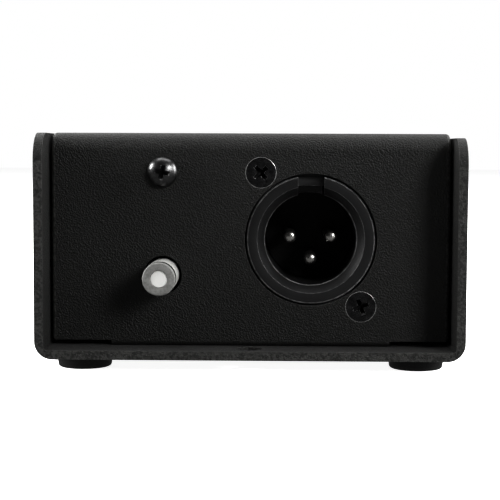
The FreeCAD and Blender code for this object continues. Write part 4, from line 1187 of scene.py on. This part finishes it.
def make_resistor():
    """Resistor body with swollen ends, on leads that bend down through the board."""
    low, high = limits("ground_resistor")
    board_front = limits("circuit_board")[0].y
    level = (low.z + high.z) / 2
    centre = (low.x + high.x) / 2
    end = 3.15
    bulge = 1.2
    waist = 1.03
    axis_y = high.y - bulge
    body = lathe("resistor", [
        (0, -end, 0), (0.5, -end, 0.1), (bulge, -3.0, 0.5), (bulge, -1.9, 0.5), (waist, -1.6, 0.4),
        (waist, 1.6, 0.4), (bulge, 1.9, 0.5), (bulge, 3.0, 0.5), (0.5, end, 0.1), (0, end, 0),
    ], 40)
    place_piece("resistor_barrel", body, [at(centre, axis_y, level, RIGHT)], "ground_resistor")

    reach = (high.x - low.x) / 2 - LEAD
    bend = 1.1
    route = rounded([
        (-reach, low.y, 0), (-reach, axis_y, bend), (reach, axis_y, bend), (reach, low.y, 0),
    ], 6)
    path = [Vector((centre + point.x, point.y, level)) * MM for point in route]
    cones = solder_cones([at(centre + side * reach, board_front, level, FRONT) for side in (-1, 1)])
    leads = joined("leads", [tube("lead", path, LEAD * MM), cones])
    finish_piece("resistor_leads", leads, "ground_resistor", slot="contact_plating")


def make_capacitor():
    """Disc capacitor, lens-shaped, its coating run down onto two straight leads."""
    low, high = limits("ground_capacitor")
    board_front = limits("circuit_board")[0].y
    radius = (high.z - low.z) / 2
    half = (high.x - low.x) / 2
    spot = middle("ground_capacitor")
    disc_y = high.y - radius
    disc = lathe("disc", [
        (0, -half, 0), (radius * 0.45, -half * 0.97, 0.6), (radius, -half * 0.45, 0.7),
        (radius, half * 0.45, 0.7), (radius * 0.45, half * 0.97, 0.6), (0, half, 0),
    ], 56)
    disc.transform(at(spot.x, disc_y, spot.z, RIGHT))
    neck = lathe("neck", [
        (0, -4.6, 0), (0.34, -4.6, 0.1), (0.75, -2.4, 0.8), (0.8, -0.5, 0), (0, -0.5, 0),
    ], 24)
    sides = [spot.z - 2.5, spot.z + 2.5]
    necks = copies(neck, [at(spot.x, disc_y, z, REAR) for z in sides])
    finish_piece("capacitor_disc", joined("capacitor", [disc, necks]), "ground_capacitor")

    length = disc_y - low.y - 1
    lead = lathe("lead", [(0, 0, 0), (LEAD, 0, 0.1), (LEAD, length, 0), (0, length, 0)], 20)
    leads = copies(lead, [at(spot.x, low.y, z, REAR) for z in sides])
    cones = solder_cones([at(spot.x, board_front, z, FRONT) for z in sides])
    coated = joined("leads", [leads, cones])
    finish_piece("capacitor_leads", coated, "ground_capacitor", slot="contact_plating")


make_terminals()
make_resistor()
make_capacitor()


# ---- floor, light and camera

def make_floor():
    """Wide pale floor under the feet, lit from within like a light table and clear from below."""
    reach = 4.0
    glow = 0.93
    work = bmesh.new()
    bmesh.ops.create_grid(work, x_segments=1, y_segments=1, size=reach)
    mesh = mesh_from(work, "floor")
    s = Surface("pale_floor")
    rays = s.add("ShaderNodeLightPath")
    seen = rays.outputs["Is Camera Ray"]
    s.feed(s.mix(seen, grey(0.14), grey(0.9)), "Base Color")
    s.feed(s.math("MULTIPLY", seen, glow), "Emission Strength")
    s.constant(Roughness=0.9, Specular_IOR_Level=0.0, Emission_Color=(1, 1, 1, 1))
    below = s.add("ShaderNodeNewGeometry")
    clear = s.add("ShaderNodeBsdfTransparent")
    choice = s.add("ShaderNodeMixShader")
    s.links.new(s.math("MULTIPLY", seen, below.outputs["Backfacing"]), choice.inputs["Fac"])
    s.links.new(s.shader.outputs["BSDF"], choice.inputs[1])
    s.links.new(clear.outputs["BSDF"], choice.inputs[2])
    s.links.new(choice.outputs["Shader"], s.nodes["Material Output"].inputs["Surface"])
    mesh.materials.append(s.material)
    new_object("floor", mesh)


# Each light: azimuth and elevation in degrees, distance and size in metres, watts.
LIGHTS = {
    "key_softbox": (41, 24, 1.1, (0.34, 0.34), 8.5),
    "right_softbox": (82, 20, 1.0, (0.35, 0.6), 9),
    "left_softbox": (-82, 20, 1.0, (0.35, 0.6), 14),
    "lip_softbox": (0, 84, 1.1, (1.2, 0.3), 4.8),
    "top_softbox": (180, 66, 1.5, (2.0, 1.0), 14),
    "rear_right_softbox": (145, 32, 1.2, (0.6, 0.6), 3),
    "rear_left_softbox": (215, 32, 1.2, (0.7, 0.6), 6),
}
AIM = Vector((0, 0, 0.02))


def softbox(name, azimuth, elevation, distance, size, power):
    """Rectangular light aimed at the box. Azimuth 0 is in front of it and 90 to its right."""
    turn = math.radians(azimuth)
    rise = math.radians(elevation)
    flat = math.cos(rise)
    away = Vector((math.sin(turn) * flat, -math.cos(turn) * flat, math.sin(rise)))
    data = bpy.data.lights.new(name, "AREA")
    data.shape = "RECTANGLE"
    data.size = size[0]
    data.size_y = size[1]
    data.energy = power
    light = new_object(name, data)
    light.location = away * distance + AIM
    light.rotation_euler = away.to_track_quat("Z", "Y").to_euler()
    return light


def make_lights():
    """Key light from the front right, a softbox on each side, two overhead, two behind, one below."""
    for name, setting in LIGHTS.items():
        softbox(name, *setting)
    low, high = cad_box
    glow = softbox("floor_glow", 0, -90, 0, (high.x - low.x, high.y - low.y), 0.012)
    glow.location = Vector((0, 0, 0.2 * MM))
    glow.visible_camera = False


def make_world():
    """White surroundings to the camera, dim ones to the box."""
    dim = 0.02
    world = bpy.data.worlds.new("studio")
    world.use_nodes = True
    nodes = world.node_tree.nodes
    links = world.node_tree.links
    rays = nodes.new("ShaderNodeLightPath")
    tone = nodes.new("ShaderNodeMapRange")
    tone.inputs["To Min"].default_value = dim
    links.new(rays.outputs["Is Camera Ray"], tone.inputs["Value"])
    links.new(tone.outputs["Result"], nodes["Background"].inputs["Strength"])
    nodes["Background"].inputs["Color"].default_value = (1, 1, 1, 1)
    bpy.context.scene.world = world


CAMERA_PLACE = Vector((3.92, -283.59, 38.29))
CAMERA_LENS = 93.18
CAMERA_SENSOR = 36.0
CAMERA_YAW = -0.978
CAMERA_PITCH = 4.105
CAMERA_ROLL = 0.240


def make_camera():
    """Camera in front of the box, near the height of its top and looking slightly down."""
    data = bpy.data.cameras.new("camera")
    data.sensor_width = CAMERA_SENSOR
    data.lens = CAMERA_LENS
    data.clip_start = 10 * MM
    camera = new_object("camera", data)
    yaw = math.radians(CAMERA_YAW)
    pitch = math.radians(CAMERA_PITCH)
    roll = math.radians(CAMERA_ROLL)
    flat = math.cos(pitch)
    forward = Vector((math.sin(yaw) * flat, math.cos(yaw) * flat, -math.sin(pitch)))
    level = Vector((math.cos(yaw), -math.sin(yaw), 0))
    above = level.cross(forward)
    right = level * math.cos(roll) + above * math.sin(roll)
    up = above * math.cos(roll) - level * math.sin(roll)
    turn = Matrix((right, up, -forward)).transposed()
    camera.matrix_world = Matrix.Translation(CAMERA_PLACE * MM) @ turn.to_4x4()
    bpy.context.scene.camera = camera


make_floor()
make_lights()
make_world()
make_camera()
bpy.context.scene.view_settings.view_transform = "Standard"
bpy.context.scene.view_settings.gamma = 0.75
